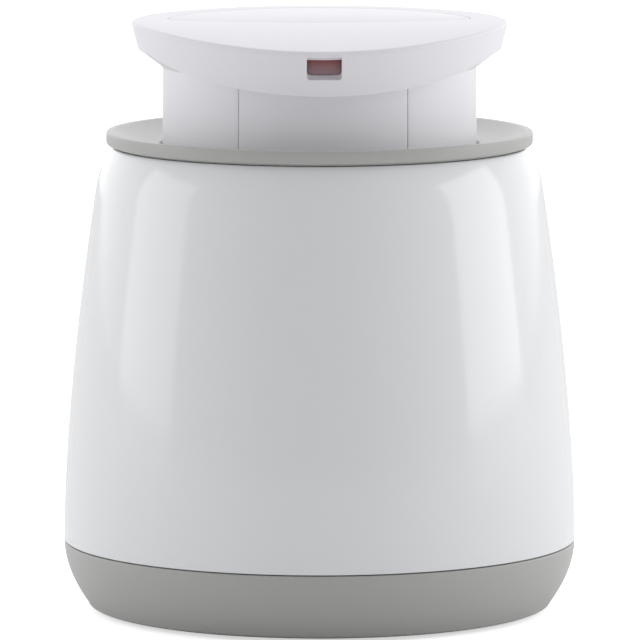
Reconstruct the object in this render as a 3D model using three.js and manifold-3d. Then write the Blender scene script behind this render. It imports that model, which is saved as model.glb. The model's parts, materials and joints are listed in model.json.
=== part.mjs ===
// Automatic rotating laser pet toy for a table or floor.
// A bell-shaped body stands on a grey base cover that holds four AA cells. A grey selector ring turns on
// the bell's top edge, and inside it a round neck with a wide tilted disc head spins on a hollow spindle.
// The laser stands still on the axis below the spindle, and a mirror in the head turns its beam out of the
// aperture in the head's front wall.
// Millimetres, +Z up, origin at the middle of the footprint, aperture facing -Y.

import * as THREE from 'three';
import { mergeVertices } from 'three/addons/utils/BufferGeometryUtils.js';
import Module from 'manifold-3d';

const wasm = await Module();
wasm.setup();

// A point on a circle about the axis.
const polar = (radius, degrees) => [
  radius * Math.cos(THREE.MathUtils.degToRad(degrees)),
  radius * Math.sin(THREE.MathUtils.degToRad(degrees)),
];

// ---------------------------------------------------------------- driving dimensions
const GAP = 0.3; // clearance between touching pieces
const ROUND = 38; // facets round the large turned shells
const SMALL_ROUND = 8; // facets round pins, posts and screws

const BODY_RADIUS = 60; // bell at its widest
const BODY_TOP = 108.8; // height of the bell's top edge
const BODY_WIDEST = 19.4; // height of the widest place
const BODY_TAPER = 9.2; // how far the side leans in by the top
const TAPER_POWER = 1.585; // how late the lean begins
const SHOULDER_DROP = 2.3; // further lean of the rounded shoulder
const SHOULDER_HEIGHT = 9.4;
const WALL = 2; // moulded wall of the bell

const SEAM = 16.2; // height of the joint between base cover and bell
const BASE_TUCK = 7; // how far the base cover curves in towards the floor
const TUCK_POWER = 1.9;
const BASE_WALL = 2.4;
const FLOOR_THICKNESS = 3;
const FOOT_RADIUS = 4.5;
const FOOT_PROUD = 0.6; // how far the feet stand below the base cover
const FOOT_HEIGHT = 1.1;
const FOOT_CIRCLE = 44;

const CELL_RADIUS = 7.1; // AA cell
const CELL_LENGTH = 50.5; // AA cell with its button
const CELL_COUNT = 4;
const CELL_SPACING = 0.4; // free space beside each cell
const CONTACT_ROOM = 3.05; // room for a contact at each end of a cell
const BOX_WALL = 1.4;

const NECK_RADIUS = 36.7;
const NECK_WALL = 1.8;
const PANEL_HALF_ANGLE = 32; // degrees, the neck's front panel

const RING_OVERHANG = 1.4; // how far the selector ring stands out past the bell's top edge
const RING_BAND = 3.1; // height of the ring's outer band
const RING_DISH = 2.9; // how deep its top face is dished
const SLEEVE_WALL = 2.1;

const HEAD_RADIUS = 44.1;
const HEAD_ABOVE_BODY = 29.5; // head's top face above the bell's top edge
const HEAD_WALL_HEIGHT = 6.2; // outer wall at the sides and back
const HEAD_DRAFT = 0.26; // wall leans in by this much for each millimetre down
const HEAD_SKIRT_DEPTH = 4.4; // from the wall's lower edge down to the flat underside
const HEAD_SHELL = 2;
const COVER_RIM = 1.2; // thickness of the cover's visible rim
const COVER_CORE = 2.6; // thickness of its middle, which carries the rear panel
const TOP_BEND_FRONT = 4.7; // the top face starts to curve down this far in front of the axis
const TOP_BEND_RADIUS = 205;
const UNDER_BEND_FRONT = 14; // the underside starts to slope down this far in front of the axis
const UNDER_SLOPE = 0.282;

const APERTURE_WIDTH = 8;
const APERTURE_HEIGHT = 5.2;
const APERTURE_BELOW_TOP = 7.7; // middle of the aperture below the head's top face

const PANEL_RADIUS = 36; // panel let into the rear of the head's top face
const PANEL_FRONT = 6.6; // its front edge lies this far in front of the axis
const PANEL_ARC = 79; // radius of its front edge
const PANEL_DEPTH = 1;

const SPINDLE_RADIUS = 8.5;
const SPINDLE_BORE = 5.5;
const BUSH_WALL = 1.8;
const GEAR_MODULE = 0.6;
const HEAD_TEETH = 60;
const IDLER_SMALL_TEETH = 12;
const IDLER_LARGE_TEETH = 40;
const PINION_TEETH = 10;
const MOTOR_RADIUS = 9.9;
const MOTOR_LENGTH = 24;
const LASER_RADIUS = 3;
const SCREW_RADIUS = 1.25;
const SCREW_HEAD_RADIUS = 2.6;
const SCREW_HEAD_HEIGHT = 1.6;
const WIRE_RADIUS = 0.55;

// ---------------------------------------------------------------- sizes that follow
const SCREW_HOLE = SCREW_RADIUS + GAP;
const FLOOR_TOP = FOOT_PROUD + FLOOR_THICKNESS;
const CELL_PITCH = 2 * CELL_RADIUS + CELL_SPACING;
const BOX_HALF_X = (CELL_COUNT * CELL_PITCH) / 2 + CELL_SPACING;
const BOX_HALF_Y = CELL_LENGTH / 2 + CONTACT_ROOM;
const BOX_BOTTOM = FLOOR_TOP + GAP;
const CELL_HEIGHT = BOX_BOTTOM + CELL_RADIUS + GAP;
const BOX_INNER_TOP = CELL_HEIGHT + CELL_RADIUS + GAP + CELL_SPACING;
const BOX_TOP = BOX_INNER_TOP + BOX_WALL;
const DECK_BOTTOM = BOX_TOP + 3;
const DECK_THICKNESS = 2;
const DECK_TOP = DECK_BOTTOM + DECK_THICKNESS;
const POST_CIRCLE = Math.hypot(BOX_HALF_X + BOX_WALL, BOX_HALF_Y + BOX_WALL) + 4.5;
const POST_RADIUS = 3.2;
const BOARD_BOTTOM = DECK_TOP + 6;
const BOARD_THICKNESS = 1.6;
const BOARD_HALF_X = 28;
const BOARD_HALF_Y = 20;

const TOP_RADIUS = BODY_RADIUS - BODY_TAPER - SHOULDER_DROP;
const RING_RADIUS = TOP_RADIUS + RING_OVERHANG;
const RING_BORE = NECK_RADIUS + 2 * GAP;
const SLEEVE_RADIUS = RING_BORE + SLEEVE_WALL;
const BODY_OPENING = SLEEVE_RADIUS + 0.8;
const LEDGE_DEPTH = 2.2; // the bell's inner ledge lies this far below its top edge
const RIM_WIDTH = 2;
const LEDGE_TOP = BODY_TOP - LEDGE_DEPTH;
const LEDGE_BOTTOM = LEDGE_TOP - WALL;
const RING_BOTTOM = BODY_TOP + 2 * GAP; // the shadow gap under the ring
const RING_TOP = RING_BOTTOM + RING_BAND;
const SLEEVE_BOTTOM = LEDGE_BOTTOM - 2;

const FRAME_FLOOR = BODY_TOP - 11.8; // underside of the top frame's floor
const FRAME_THICKNESS = 2.2;
const FRAME_BORE = SLEEVE_RADIUS + 1.6;
const FRAME_RADIUS = FRAME_BORE + 1.6;
const FRAME_TOP = LEDGE_BOTTOM - GAP;
const FRAME_FLANGE = FRAME_RADIUS + 4.9;
const BUSH_RADIUS = SPINDLE_RADIUS + GAP + BUSH_WALL;
const COLLAR_BORE = BUSH_RADIUS + GAP;
const COLLAR_RADIUS = COLLAR_BORE + 2.6;
const COLLAR_BOTTOM = FRAME_FLOOR - 5;
const COLLAR_TOP = FRAME_FLOOR + 5.4;
const NECK_BOTTOM = COLLAR_TOP + 1.1;
const NECK_BORE = NECK_RADIUS - NECK_WALL;
const NECK_FLOOR_TOP = NECK_BOTTOM + 2;

const HEAD_TOP = BODY_TOP + HEAD_ABOVE_BODY;
const WALL_LOW = HEAD_TOP - HEAD_WALL_HEIGHT;
const HEAD_UNDER = WALL_LOW - HEAD_SKIRT_DEPTH;
const HEAD_HOLE = NECK_BORE - 8;
const HEAD_POST_CIRCLE = HEAD_HOLE + 3.1;
const HEAD_POST_RADIUS = 2.6;
const APERTURE_MIDDLE = HEAD_TOP - APERTURE_BELOW_TOP;

const GEAR_WIDTH = 3.5;
const HEAD_GEAR_BOTTOM = FRAME_FLOOR - 11;
const IDLER_LARGE_BOTTOM = HEAD_GEAR_BOTTOM - 4;
const IDLER_LARGE_WIDTH = 3;
const PLATE_TOP = IDLER_LARGE_BOTTOM - 1.5;
const PLATE_THICKNESS = 2.2;
const PLATE_BOTTOM = PLATE_TOP - PLATE_THICKNESS;
const SPINDLE_BOTTOM = HEAD_GEAR_BOTTOM - GAP;
const IDLER_DISTANCE = (GEAR_MODULE * (HEAD_TEETH + IDLER_SMALL_TEETH)) / 2;
const PINION_DISTANCE = (GEAR_MODULE * (IDLER_LARGE_TEETH + PINION_TEETH)) / 2;
const PINION_DIRECTION = 120; // degrees, from the idler towards the motor
const IDLER_AT = [-IDLER_DISTANCE, 0];
const MOTOR_AT = [
  IDLER_AT[0] + PINION_DISTANCE * Math.cos(THREE.MathUtils.degToRad(PINION_DIRECTION)),
  IDLER_AT[1] + PINION_DISTANCE * Math.sin(THREE.MathUtils.degToRad(PINION_DIRECTION)),
];
const PIN_RADIUS = 1;
const PIN_HOLE = PIN_RADIUS + GAP;
const MOTOR_TOP = PLATE_BOTTOM - GAP;
const MOTOR_BOTTOM = MOTOR_TOP - MOTOR_LENGTH;
const LASER_TOP = PLATE_TOP + 1.5;
const LASER_BOTTOM = PLATE_BOTTOM - 12;
const HOLDER_RADIUS = LASER_RADIUS + GAP + 1.8;
const FRAME_POST_RADIUS = 3;
const IDLER_LARGE_RADIUS = (GEAR_MODULE * (IDLER_LARGE_TEETH + 2)) / 2;
const POST_BESIDE_IDLER = polar(IDLER_LARGE_RADIUS + FRAME_POST_RADIUS + 2, 240);
const FRAME_POST_CIRCLE = FRAME_RADIUS - 14; // outside the head gear, inside the frame's floor
const FRAME_POSTS = [
  [IDLER_AT[0] + POST_BESIDE_IDLER[0], IDLER_AT[1] + POST_BESIDE_IDLER[1]],
  polar(FRAME_POST_CIRCLE, 280),
  polar(FRAME_POST_CIRCLE, 73.5),
];

// Screws, posts, feet and other places on circles about the axis.
const SCREW_SINK = 2; // depth of the counterbore under each long screw
const BOSS_HEIGHT = 14; // posts inside the bell that the long screws enter
const POSTS = [45, 135, 225, 315].map((angle) => ({ angle, at: polar(POST_CIRCLE, angle) }));
const FEET = [0, 90, 180, 270].map((angle) => polar(FOOT_CIRCLE, angle));
const FRAME_SCREWS = [30, 150, 270].map((angle) => polar(FRAME_RADIUS + SCREW_HEAD_RADIUS, angle));
const HEAD_SCREWS = [50, 170, 290].map((angle) => polar(HEAD_POST_CIRCLE, angle));
const COVER_POST_RADIUS = 2.6;
const COVER_SCREWS = [110, 230, 350].map((angle) => polar(HEAD_HOLE + COVER_POST_RADIUS + 1, angle));
const BOARD_INSET = 4; // board screws, from the board's edges
const BOARD_CORNERS = [[-1, -1], [1, -1], [1, 1], [-1, 1]].map(([sx, sy]) => [
  sx * (BOARD_HALF_X - BOARD_INSET),
  sy * (BOARD_HALF_Y - BOARD_INSET),
]);
const TRACK_TOP = FRAME_FLOOR + FRAME_THICKNESS + GAP + 1;
const TRACK_LEAD = [NECK_BORE - 4, 0]; // where the selector's leads leave its track

const DOOR_LEDGE = 1.3; // how far the door recess runs out past the battery opening
const DOOR_THICKNESS = 1.4;
const TURN_UP = 1.8; // height at which the base cover's rounded bottom edge meets its side
const FLAT_RADIUS = BODY_RADIUS - BASE_TUCK - TURN_UP; // flat underside of the base cover

// ---------------------------------------------------------------- materials
function finish(colour, roughness, metalness = 0) {
  return new THREE.MeshStandardMaterial({ color: colour, roughness, metalness });
}
const glossWhite = () => finish(0xe9eaee, 0.18);
const satinWhite = () => finish(0xe6e6ea, 0.38);
const softGrey = () => finish(0xb4b4b2, 0.6);
const innerPlastic = () => finish(0xd8d8d4, 0.55);
const rubber = () => finish(0x55555a, 0.9);
const steel = () => finish(0xb8bcc2, 0.35, 0.9);
const brass = () => finish(0xb89a52, 0.35, 0.9);
const gearPlastic = () => finish(0xece7d6, 0.45);

// ---------------------------------------------------------------- shape helpers
function signedVolume(positions, triangles) {
  const a = new THREE.Vector3();
  const b = new THREE.Vector3();
  const c = new THREE.Vector3();
  let total = 0;
  for (let i = 0; i < triangles.length; i += 3) {
    a.fromArray(positions, 3 * triangles[i]);
    b.fromArray(positions, 3 * triangles[i + 1]);
    c.fromArray(positions, 3 * triangles[i + 2]);
    total += a.dot(b.cross(c));
  }
  return total / 6;
}

// A closed geometry as a solid for joining and cutting, with its faces turned outwards.
function solid(geometry) {
  const bare = geometry.clone();
  bare.deleteAttribute('normal');
  bare.deleteAttribute('uv');
  const merged = mergeVertices(bare, 1e-4);
  const positions = merged.attributes.position.array;
  const index = merged.index.array;
  const triangles = [];
  for (let i = 0; i < index.length; i += 3) {
    const [a, b, c] = [index[i], index[i + 1], index[i + 2]];
    if (a !== b && b !== c && c !== a) triangles.push(a, b, c);
  }
  if (signedVolume(positions, triangles) < 0) triangles.reverse();
  const mesh = new wasm.Mesh({
    numProp: 3,
    vertProperties: new Float32Array(positions),
    triVerts: new Uint32Array(triangles),
  });
  return new wasm.Manifold(mesh);
}

function geometryOf(body) {
  const mesh = body.getMesh();
  const geometry = new THREE.BufferGeometry();
  geometry.setAttribute('position', new THREE.BufferAttribute(new Float32Array(mesh.vertProperties), 3));
  geometry.setIndex(new THREE.BufferAttribute(new Uint32Array(mesh.triVerts), 1));
  geometry.computeVertexNormals();
  return geometry;
}

const joined = (first, ...others) => others.reduce((sum, next) => sum.add(next), first);
const cutBy = (first, ...tools) => tools.reduce((rest, tool) => rest.subtract(tool), first);

// A solid of revolution about Z from [radius, height] corners.
function turned(corners, facets = ROUND) {
  const profile = corners.map(([radius, height]) => new THREE.Vector2(radius, height));
  return solid(new THREE.LatheGeometry(profile, facets).rotateX(Math.PI / 2));
}

// The same, for a ring whose profile closes on itself.
const turnedRing = (corners, facets = ROUND) => turned([...corners, corners[0]], facets);

function rod(radius, bottom, top, [x, y] = [0, 0], facets = SMALL_ROUND) {
  const geometry = new THREE.CylinderGeometry(radius, radius, top - bottom, facets);
  return solid(geometry.rotateX(Math.PI / 2).translate(x, y, (bottom + top) / 2));
}

function tube(outer, inner, bottom, top, facets = ROUND) {
  return turnedRing([[inner, bottom], [outer, bottom], [outer, top], [inner, top]], facets);
}

function block([x0, x1], [y0, y1], [z0, z1]) {
  const geometry = new THREE.BoxGeometry(x1 - x0, y1 - y0, z1 - z0);
  return solid(geometry.translate((x0 + x1) / 2, (y0 + y1) / 2, (z0 + z1) / 2));
}

function slab(shape, bottom, top, curveSegments = 12) {
  const options = { depth: top - bottom, bevelEnabled: false, curveSegments };
  const geometry = new THREE.ExtrudeGeometry(shape, options);
  return solid(geometry.translate(0, 0, bottom));
}

// A prism along X whose outline is drawn in the YZ plane.
function prismAlongX(corners, halfLength) {
  const shape = new THREE.Shape(corners.map(([y, z]) => new THREE.Vector2(y, z)));
  const geometry = new THREE.ExtrudeGeometry(shape, { depth: 2 * halfLength, bevelEnabled: false });
  geometry.translate(0, 0, -halfLength);
  geometry.rotateX(Math.PI / 2);
  geometry.rotateZ(Math.PI / 2);
  return solid(geometry);
}

// Evenly spaced values from first to last, both kept.
function steps(first, last, count) {
  return Array.from({ length: count }, (_, i) => first + ((last - first) * i) / (count - 1));
}

const assembly = new THREE.Group();

function add(name, body, material) {
  const mesh = new THREE.Mesh(geometryOf(body), material);
  mesh.name = name;
  assembly.add(mesh);
}

// A pan-head screw whose head's underside is at height seat, pointing up.
function screwUp(name, at, seat, length) {
  const head = rod(SCREW_HEAD_RADIUS, seat - SCREW_HEAD_HEIGHT, seat, at);
  add(name, head.add(rod(SCREW_RADIUS, seat - 0.5, seat + length, at, 8)), steel());
}

// A pan-head screw whose head's underside is at height seat, pointing down.
function screwDown(name, at, seat, length) {
  const head = rod(SCREW_HEAD_RADIUS, seat, seat + SCREW_HEAD_HEIGHT, at);
  add(name, head.add(rod(SCREW_RADIUS, seat - length, seat + 0.5, at, 8)), steel());
}

// A round wire held inside the housing, through the given points.
function wire(name, points, colour) {
  const corners = points.map((p) => new THREE.Vector3(...p));
  const path = new THREE.CatmullRomCurve3(corners, false, 'catmullrom', 0.3);
  const section = new THREE.Shape();
  section.absarc(0, 0, WIRE_RADIUS, 0, 2 * Math.PI);
  const options = { steps: 3 * points.length, extrudePath: path, bevelEnabled: false, curveSegments: 3 };
  add(name, solid(new THREE.ExtrudeGeometry(section, options)), finish(colour, 0.6));
}

// ---------------------------------------------------------------- body and base
function bodyRadius(height) {
  const rise = Math.max(0, (height - BODY_WIDEST) / (BODY_TOP - BODY_WIDEST));
  const shoulder = Math.max(0, (height - BODY_TOP + SHOULDER_HEIGHT) / SHOULDER_HEIGHT);
  return BODY_RADIUS - BODY_TAPER * rise ** TAPER_POWER - SHOULDER_DROP * shoulder ** 2;
}

function baseRadius(height) {
  return BODY_RADIUS - BASE_TUCK * Math.max(0, 1 - height / SEAM) ** TUCK_POWER;
}

function bodyShell() {
  const shoulderStart = BODY_TOP - SHOULDER_HEIGHT;
  const sideHeights = steps(SEAM + GAP, shoulderStart, 7);
  const shoulderHeights = steps(shoulderStart, BODY_TOP, 4).slice(1);
  const innerHeights = steps(LEDGE_BOTTOM - 1, SEAM + GAP, 4);
  const shell = turnedRing([
    ...[...sideHeights, ...shoulderHeights].map((z) => [bodyRadius(z), z]),
    [TOP_RADIUS - RIM_WIDTH, BODY_TOP],
    [TOP_RADIUS - RIM_WIDTH, LEDGE_TOP],
    [BODY_OPENING, LEDGE_TOP],
    [BODY_OPENING, LEDGE_BOTTOM],
    [bodyRadius(LEDGE_BOTTOM) - WALL - GAP, LEDGE_BOTTOM],
    ...innerHeights.map((z) => [bodyRadius(z) - WALL, z]),
  ]);
  const bossBottom = DECK_TOP + GAP;
  const bossTop = bossBottom + BOSS_HEIGHT;
  const parts = POSTS.map(({ angle, at }) => {
    const reach = bodyRadius(bossTop) - WALL / 2;
    const web = new THREE.BoxGeometry(reach - POST_CIRCLE, 2, BOSS_HEIGHT);
    web.translate((reach + POST_CIRCLE) / 2, 0, (bossBottom + bossTop) / 2);
    web.rotateZ(THREE.MathUtils.degToRad(angle));
    return rod(POST_RADIUS, bossBottom, bossTop, at).add(solid(web));
  });
  const holes = POSTS.map(({ at }) => rod(SCREW_HOLE, bossBottom - 1, bossTop - 2, at, 10));
  const frameHoles = FRAME_SCREWS.map((at) => rod(SCREW_HOLE, LEDGE_BOTTOM - 1, LEDGE_TOP + 1, at, 10));
  return cutBy(joined(shell, ...parts), ...holes, ...frameHoles);
}

function baseCover() {
  const bottom = FOOT_PROUD;
  const edgeControl = new THREE.Vector2(baseRadius(bottom) + 0.2, bottom);
  const edge = new THREE.QuadraticBezierCurve(
    new THREE.Vector2(FLAT_RADIUS, bottom),
    edgeControl,
    new THREE.Vector2(baseRadius(TURN_UP), TURN_UP),
  ).getPoints(3).map((p) => [p.x, p.y]);
  const lipOuter = bodyRadius(SEAM) - WALL - 2 * GAP;
  const lipInner = lipOuter - 1.6;
  const cup = turned([
    [0, bottom],
    ...edge,
    ...steps(TURN_UP, SEAM, 6).slice(1).map((z) => [baseRadius(z), z]),
    [lipOuter, SEAM],
    [lipOuter, SEAM + 3],
    [lipInner, SEAM + 3],
    [lipInner, SEAM - 2],
    ...steps(SEAM - 5, FLOOR_TOP, 3).map((z) => [baseRadius(z) - BASE_WALL - 0.6, z]),
    [0, FLOOR_TOP],
  ]);
  const posts = POSTS.map(({ at }) => rod(POST_RADIUS, FLOOR_TOP - 1, DECK_BOTTOM - GAP, at));
  const screwHoles = POSTS.flatMap(({ at }) => [
    rod(SCREW_HOLE, bottom - 1, DECK_BOTTOM + 1, at, 10),
    rod(SCREW_HEAD_RADIUS + GAP, bottom - 1, bottom + SCREW_SINK, at),
  ]);
  const footSeats = FEET.map((at) => rod(FOOT_RADIUS + GAP, bottom - 1, FOOT_HEIGHT + GAP, at, 16));
  const opening = block([-BOX_HALF_X, BOX_HALF_X], [-BOX_HALF_Y, BOX_HALF_Y], [bottom - 1, FLOOR_TOP + 1]);
  const recessX = BOX_HALF_X + DOOR_LEDGE;
  const recessY = BOX_HALF_Y + DOOR_LEDGE + 0.8;
  const recessTop = bottom + DOOR_THICKNESS + GAP;
  const recess = block([-recessX, recessX], [-recessY, recessY], [bottom - 1, recessTop]);
  const catchSlot = block([-6, 6], [recessY - 1, recessY + 4], [bottom - 1, bottom + DOOR_THICKNESS + GAP]);
  return cutBy(joined(cup, ...posts), ...screwHoles, ...footSeats, opening, recess, catchSlot);
}

function batteryDoor() {
  const halfX = BOX_HALF_X + DOOR_LEDGE - GAP;
  const halfY = BOX_HALF_Y + DOOR_LEDGE + 0.8 - GAP;
  const bottom = FOOT_PROUD;
  const top = bottom + DOOR_THICKNESS;
  const plate = block([-halfX, halfX], [-halfY, halfY], [bottom, top]);
  const tab = block([-6 + GAP, 6 - GAP], [halfY - 1, halfY + 4], [bottom, top]);
  const gripY = [halfY - 8, halfY - 1];
  const grips = [-3, 0, 3].map((x) => block([x - 0.5, x + 0.5], gripY, [bottom - 1, bottom + 0.5]));
  return cutBy(plate.add(tab), ...grips);
}

function batteryBox() {
  const outerX = BOX_HALF_X + BOX_WALL;
  const outerY = BOX_HALF_Y + BOX_WALL;
  const shell = block([-outerX, outerX], [-outerY, outerY], [BOX_BOTTOM, BOX_TOP]);
  const room = block([-BOX_HALF_X, BOX_HALF_X], [-BOX_HALF_Y, BOX_HALF_Y], [BOX_BOTTOM - 1, BOX_INNER_TOP]);
  const leadHoles = [-1, 1].map((side) => rod(1.4, BOX_INNER_TOP - 1, BOX_TOP + 1, leadPlace(side), 10));
  return cutBy(shell, room, ...leadHoles);
}

const cellX = (i) => (i - (CELL_COUNT - 1) / 2) * CELL_PITCH;
const leadPlace = (side) => [side * cellX(CELL_COUNT - 1), BOX_HALF_Y - 1.2];

// An AA cell lying along Y. Its button points to +Y or -Y.
function batteryCell(x, direction) {
  const half = CELL_LENGTH / 2;
  const button = 1.3;
  const buttonRadius = 2.7;
  const shoulder = half - button;
  const profile = [
    [0, -half],
    [CELL_RADIUS - 0.4, -half],
    [CELL_RADIUS, -half + 0.5],
    [CELL_RADIUS, shoulder - 0.5],
    [CELL_RADIUS - 0.8, shoulder],
    [buttonRadius, shoulder],
    [buttonRadius, half],
    [0, half],
  ];
  const lathe = new THREE.LatheGeometry(profile.map(([r, h]) => new THREE.Vector2(r, h)), 14);
  if (direction < 0) lathe.rotateZ(Math.PI);
  return solid(lathe.translate(x, 0, CELL_HEIGHT));
}

// A contact strip standing at one end of the cells. Each place is a cell's x and whether a spring meets it.
function batteryContact(end, places) {
  const plateOuter = BOX_HALF_Y - GAP;
  const plateInner = plateOuter - 0.5;
  const tip = CELL_LENGTH / 2 + GAP;
  const xs = places.map((place) => place.x);
  const y = (value) => (end > 0 ? value : -value);
  const strip = block(
    [Math.min(...xs) - 4.5, Math.max(...xs) + 4.5],
    [Math.min(y(plateInner), y(plateOuter)), Math.max(y(plateInner), y(plateOuter))],
    [CELL_HEIGHT - 4.5, CELL_HEIGHT + 4.5],
  );
  const bumps = places.map(({ x, spring }) => {
    const length = plateInner + 0.2 - tip;
    const bump = new THREE.CylinderGeometry(spring ? 2.2 : 1.2, spring ? 3.6 : 2, length, 12);
    if (end > 0) bump.rotateZ(Math.PI);
    return solid(bump.translate(x, y(tip + length / 2), CELL_HEIGHT));
  });
  return joined(strip, ...bumps);
}

function chassisDeck() {
  const radius = POST_CIRCLE + POST_RADIUS + 1.5;
  const plate = rod(radius, DECK_BOTTOM, DECK_TOP, [0, 0], 32);
  const standoffs = BOARD_CORNERS.map((at) => rod(2.8, DECK_TOP - 0.5, BOARD_BOTTOM - GAP, at));
  const boardHoles = BOARD_CORNERS.map((at) => rod(SCREW_HOLE, DECK_BOTTOM + 1, BOARD_BOTTOM + 1, at, 10));
  const postHoles = POSTS.map(({ at }) => rod(SCREW_HOLE, DECK_BOTTOM - 1, DECK_TOP + 1, at, 10));
  const leadHoles = [-1, 1].map((side) => rod(2, DECK_BOTTOM - 1, DECK_TOP + 1, leadPlace(side), 10));
  return cutBy(joined(plate, ...standoffs), ...boardHoles, ...postHoles, ...leadHoles);
}

function circuitBoard() {
  const top = BOARD_BOTTOM + BOARD_THICKNESS;
  const sunk = top - 0.4;
  const board = block([-BOARD_HALF_X, BOARD_HALF_X], [-BOARD_HALF_Y, BOARD_HALF_Y], [BOARD_BOTTOM, top]);
  const parts = [
    block([-6, 6], [-4, 4], [sunk, top + 1.8]),
    block([10, 18], [-12, -7], [sunk, top + 5]),
    block([-19, -11], [-13, -7], [sunk, top + 5]),
    block([8, 11], [4, 12], [sunk, top + 1.2]),
    block([-24, -19], [-2, 4], [sunk, top + 2.4]),
    rod(4, sunk, top + 9, [19, 4], 16),
    rod(2.5, sunk, top + 6, [-12, 9], 12),
  ];
  const holes = BOARD_CORNERS.map((at) => rod(SCREW_HOLE, BOARD_BOTTOM - 1, top + 1, at, 10));
  return cutBy(joined(board, ...parts), ...holes);
}

// ---------------------------------------------------------------- selector ring and top frame
function selectorRing() {
  const round = 0.9; // rounded corners of the outer band
  const dishStart = RING_RADIUS - 2.2;
  const sitZ = LEDGE_TOP + 2 * GAP;
  const spigot = TOP_RADIUS - RIM_WIDTH - 2 * GAP;
  const dish = steps(0, 1, 3).map((t) => [
    dishStart + (RING_BORE - dishStart) * t,
    RING_TOP - RING_DISH * Math.sin((t * Math.PI) / 2),
  ]);
  return turnedRing([
    [spigot, RING_BOTTOM],
    [RING_RADIUS - round * 0.6, RING_BOTTOM],
    [RING_RADIUS, RING_BOTTOM + round],
    [RING_RADIUS, RING_TOP - round],
    [RING_RADIUS - round * 0.3, RING_TOP - round * 0.3],
    [RING_RADIUS - round, RING_TOP],
    ...dish,
    [RING_BORE, SLEEVE_BOTTOM],
    [SLEEVE_RADIUS, SLEEVE_BOTTOM],
    [SLEEVE_RADIUS, sitZ],
    [spigot, sitZ],
  ]);
}

function selectorTrack() {
  const ring = tube(FRAME_BORE - GAP, NECK_BORE - 5, TRACK_TOP - 1, TRACK_TOP, 40);
  const leadNotch = block([NECK_BORE - 6, NECK_BORE - 2], [-2.5, 2.5], [TRACK_TOP - 2, TRACK_TOP + 1]);
  return ring.subtract(leadNotch);
}

function selectorWiper() {
  const radius = (RING_BORE + SLEEVE_RADIUS) / 2;
  const bottom = TRACK_TOP + GAP;
  const top = SLEEVE_BOTTOM - GAP;
  const strip = block([-5, 5], [radius - 0.7, radius + 0.7], [top - 0.4, top]);
  const fingerY = [radius - 0.6, radius + 0.6];
  const fingers = [-4, 0, 4].map((x) => block([x - 0.6, x + 0.6], fingerY, [bottom, top - 0.2]));
  return joined(strip, ...fingers);
}

function topFrame() {
  const frame = turnedRing([
    [COLLAR_BORE, COLLAR_BOTTOM],
    [COLLAR_RADIUS, COLLAR_BOTTOM],
    [COLLAR_RADIUS, FRAME_FLOOR],
    [FRAME_RADIUS, FRAME_FLOOR],
    [FRAME_RADIUS, FRAME_TOP - FRAME_THICKNESS],
    [FRAME_FLANGE, FRAME_TOP - FRAME_THICKNESS],
    [FRAME_FLANGE, FRAME_TOP],
    [FRAME_BORE, FRAME_TOP],
    [FRAME_BORE, FRAME_FLOOR + FRAME_THICKNESS],
    [COLLAR_RADIUS, FRAME_FLOOR + FRAME_THICKNESS],
    [COLLAR_RADIUS, COLLAR_TOP],
    [COLLAR_BORE, COLLAR_TOP],
  ], 36);
  const posts = FRAME_POSTS.map((at) => rod(FRAME_POST_RADIUS, PLATE_TOP + GAP, FRAME_FLOOR + 1, at));
  const axleBoss = rod(3, HEAD_GEAR_BOTTOM + GEAR_WIDTH + 1.4, FRAME_FLOOR + 1, IDLER_AT);
  const axleHole = rod(PIN_HOLE, PLATE_TOP, FRAME_FLOOR, IDLER_AT, 10);
  const postHoles = FRAME_POSTS.map((at) => rod(SCREW_HOLE, PLATE_TOP - 1, PLATE_TOP + 9, at, 10));
  const flangeHoles = FRAME_SCREWS.map((at) => rod(SCREW_HOLE, FRAME_FLOOR, FRAME_TOP + 1, at, 10));
  const leadHole = rod(1.6, FRAME_FLOOR - 1, FRAME_FLOOR + FRAME_THICKNESS + 1, TRACK_LEAD, 10);
  return cutBy(joined(frame, ...posts, axleBoss), axleHole, ...postHoles, ...flangeHoles, leadHole);
}

// ---------------------------------------------------------------- drive
// Straight-flanked spur gear outline. A tooth is centred on the phase angle (radians).
function gearShape(teeth, phase) {
  const pitch = (GEAR_MODULE * teeth) / 2;
  const tip = pitch + 0.85 * GEAR_MODULE;
  const root = pitch - 1.15 * GEAR_MODULE;
  const toothAngle = (2 * Math.PI) / teeth;
  const corners = [];
  for (let i = 0; i < teeth; i += 1) {
    const middle = phase + i * toothAngle;
    for (const [radius, share] of [[root, -0.34], [tip, -0.11], [tip, 0.11], [root, 0.34]]) {
      const angle = middle + share * toothAngle;
      corners.push(new THREE.Vector2(radius * Math.cos(angle), radius * Math.sin(angle)));
    }
  }
  return new THREE.Shape(corners);
}

function gear(teeth, phase, bottom, top, at, bore) {
  const disc = slab(gearShape(teeth, phase), bottom, top);
  return disc.subtract(rod(bore, bottom - 1, top + 1, [0, 0], 20)).translate([at[0], at[1], 0]);
}

const headGearPhase = Math.PI; // a tooth points at the idler
const idlerSmallPhase = Math.PI / IDLER_SMALL_TEETH; // a space faces the head gear
const idlerLargePhase = THREE.MathUtils.degToRad(PINION_DIRECTION); // a tooth points at the motor pinion
const pinionPhase = THREE.MathUtils.degToRad(PINION_DIRECTION + 180) + Math.PI / PINION_TEETH;

function headGear() {
  const top = HEAD_GEAR_BOTTOM + GEAR_WIDTH;
  return gear(HEAD_TEETH, headGearPhase, HEAD_GEAR_BOTTOM, top, [0, 0], SPINDLE_RADIUS + GAP);
}

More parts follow.
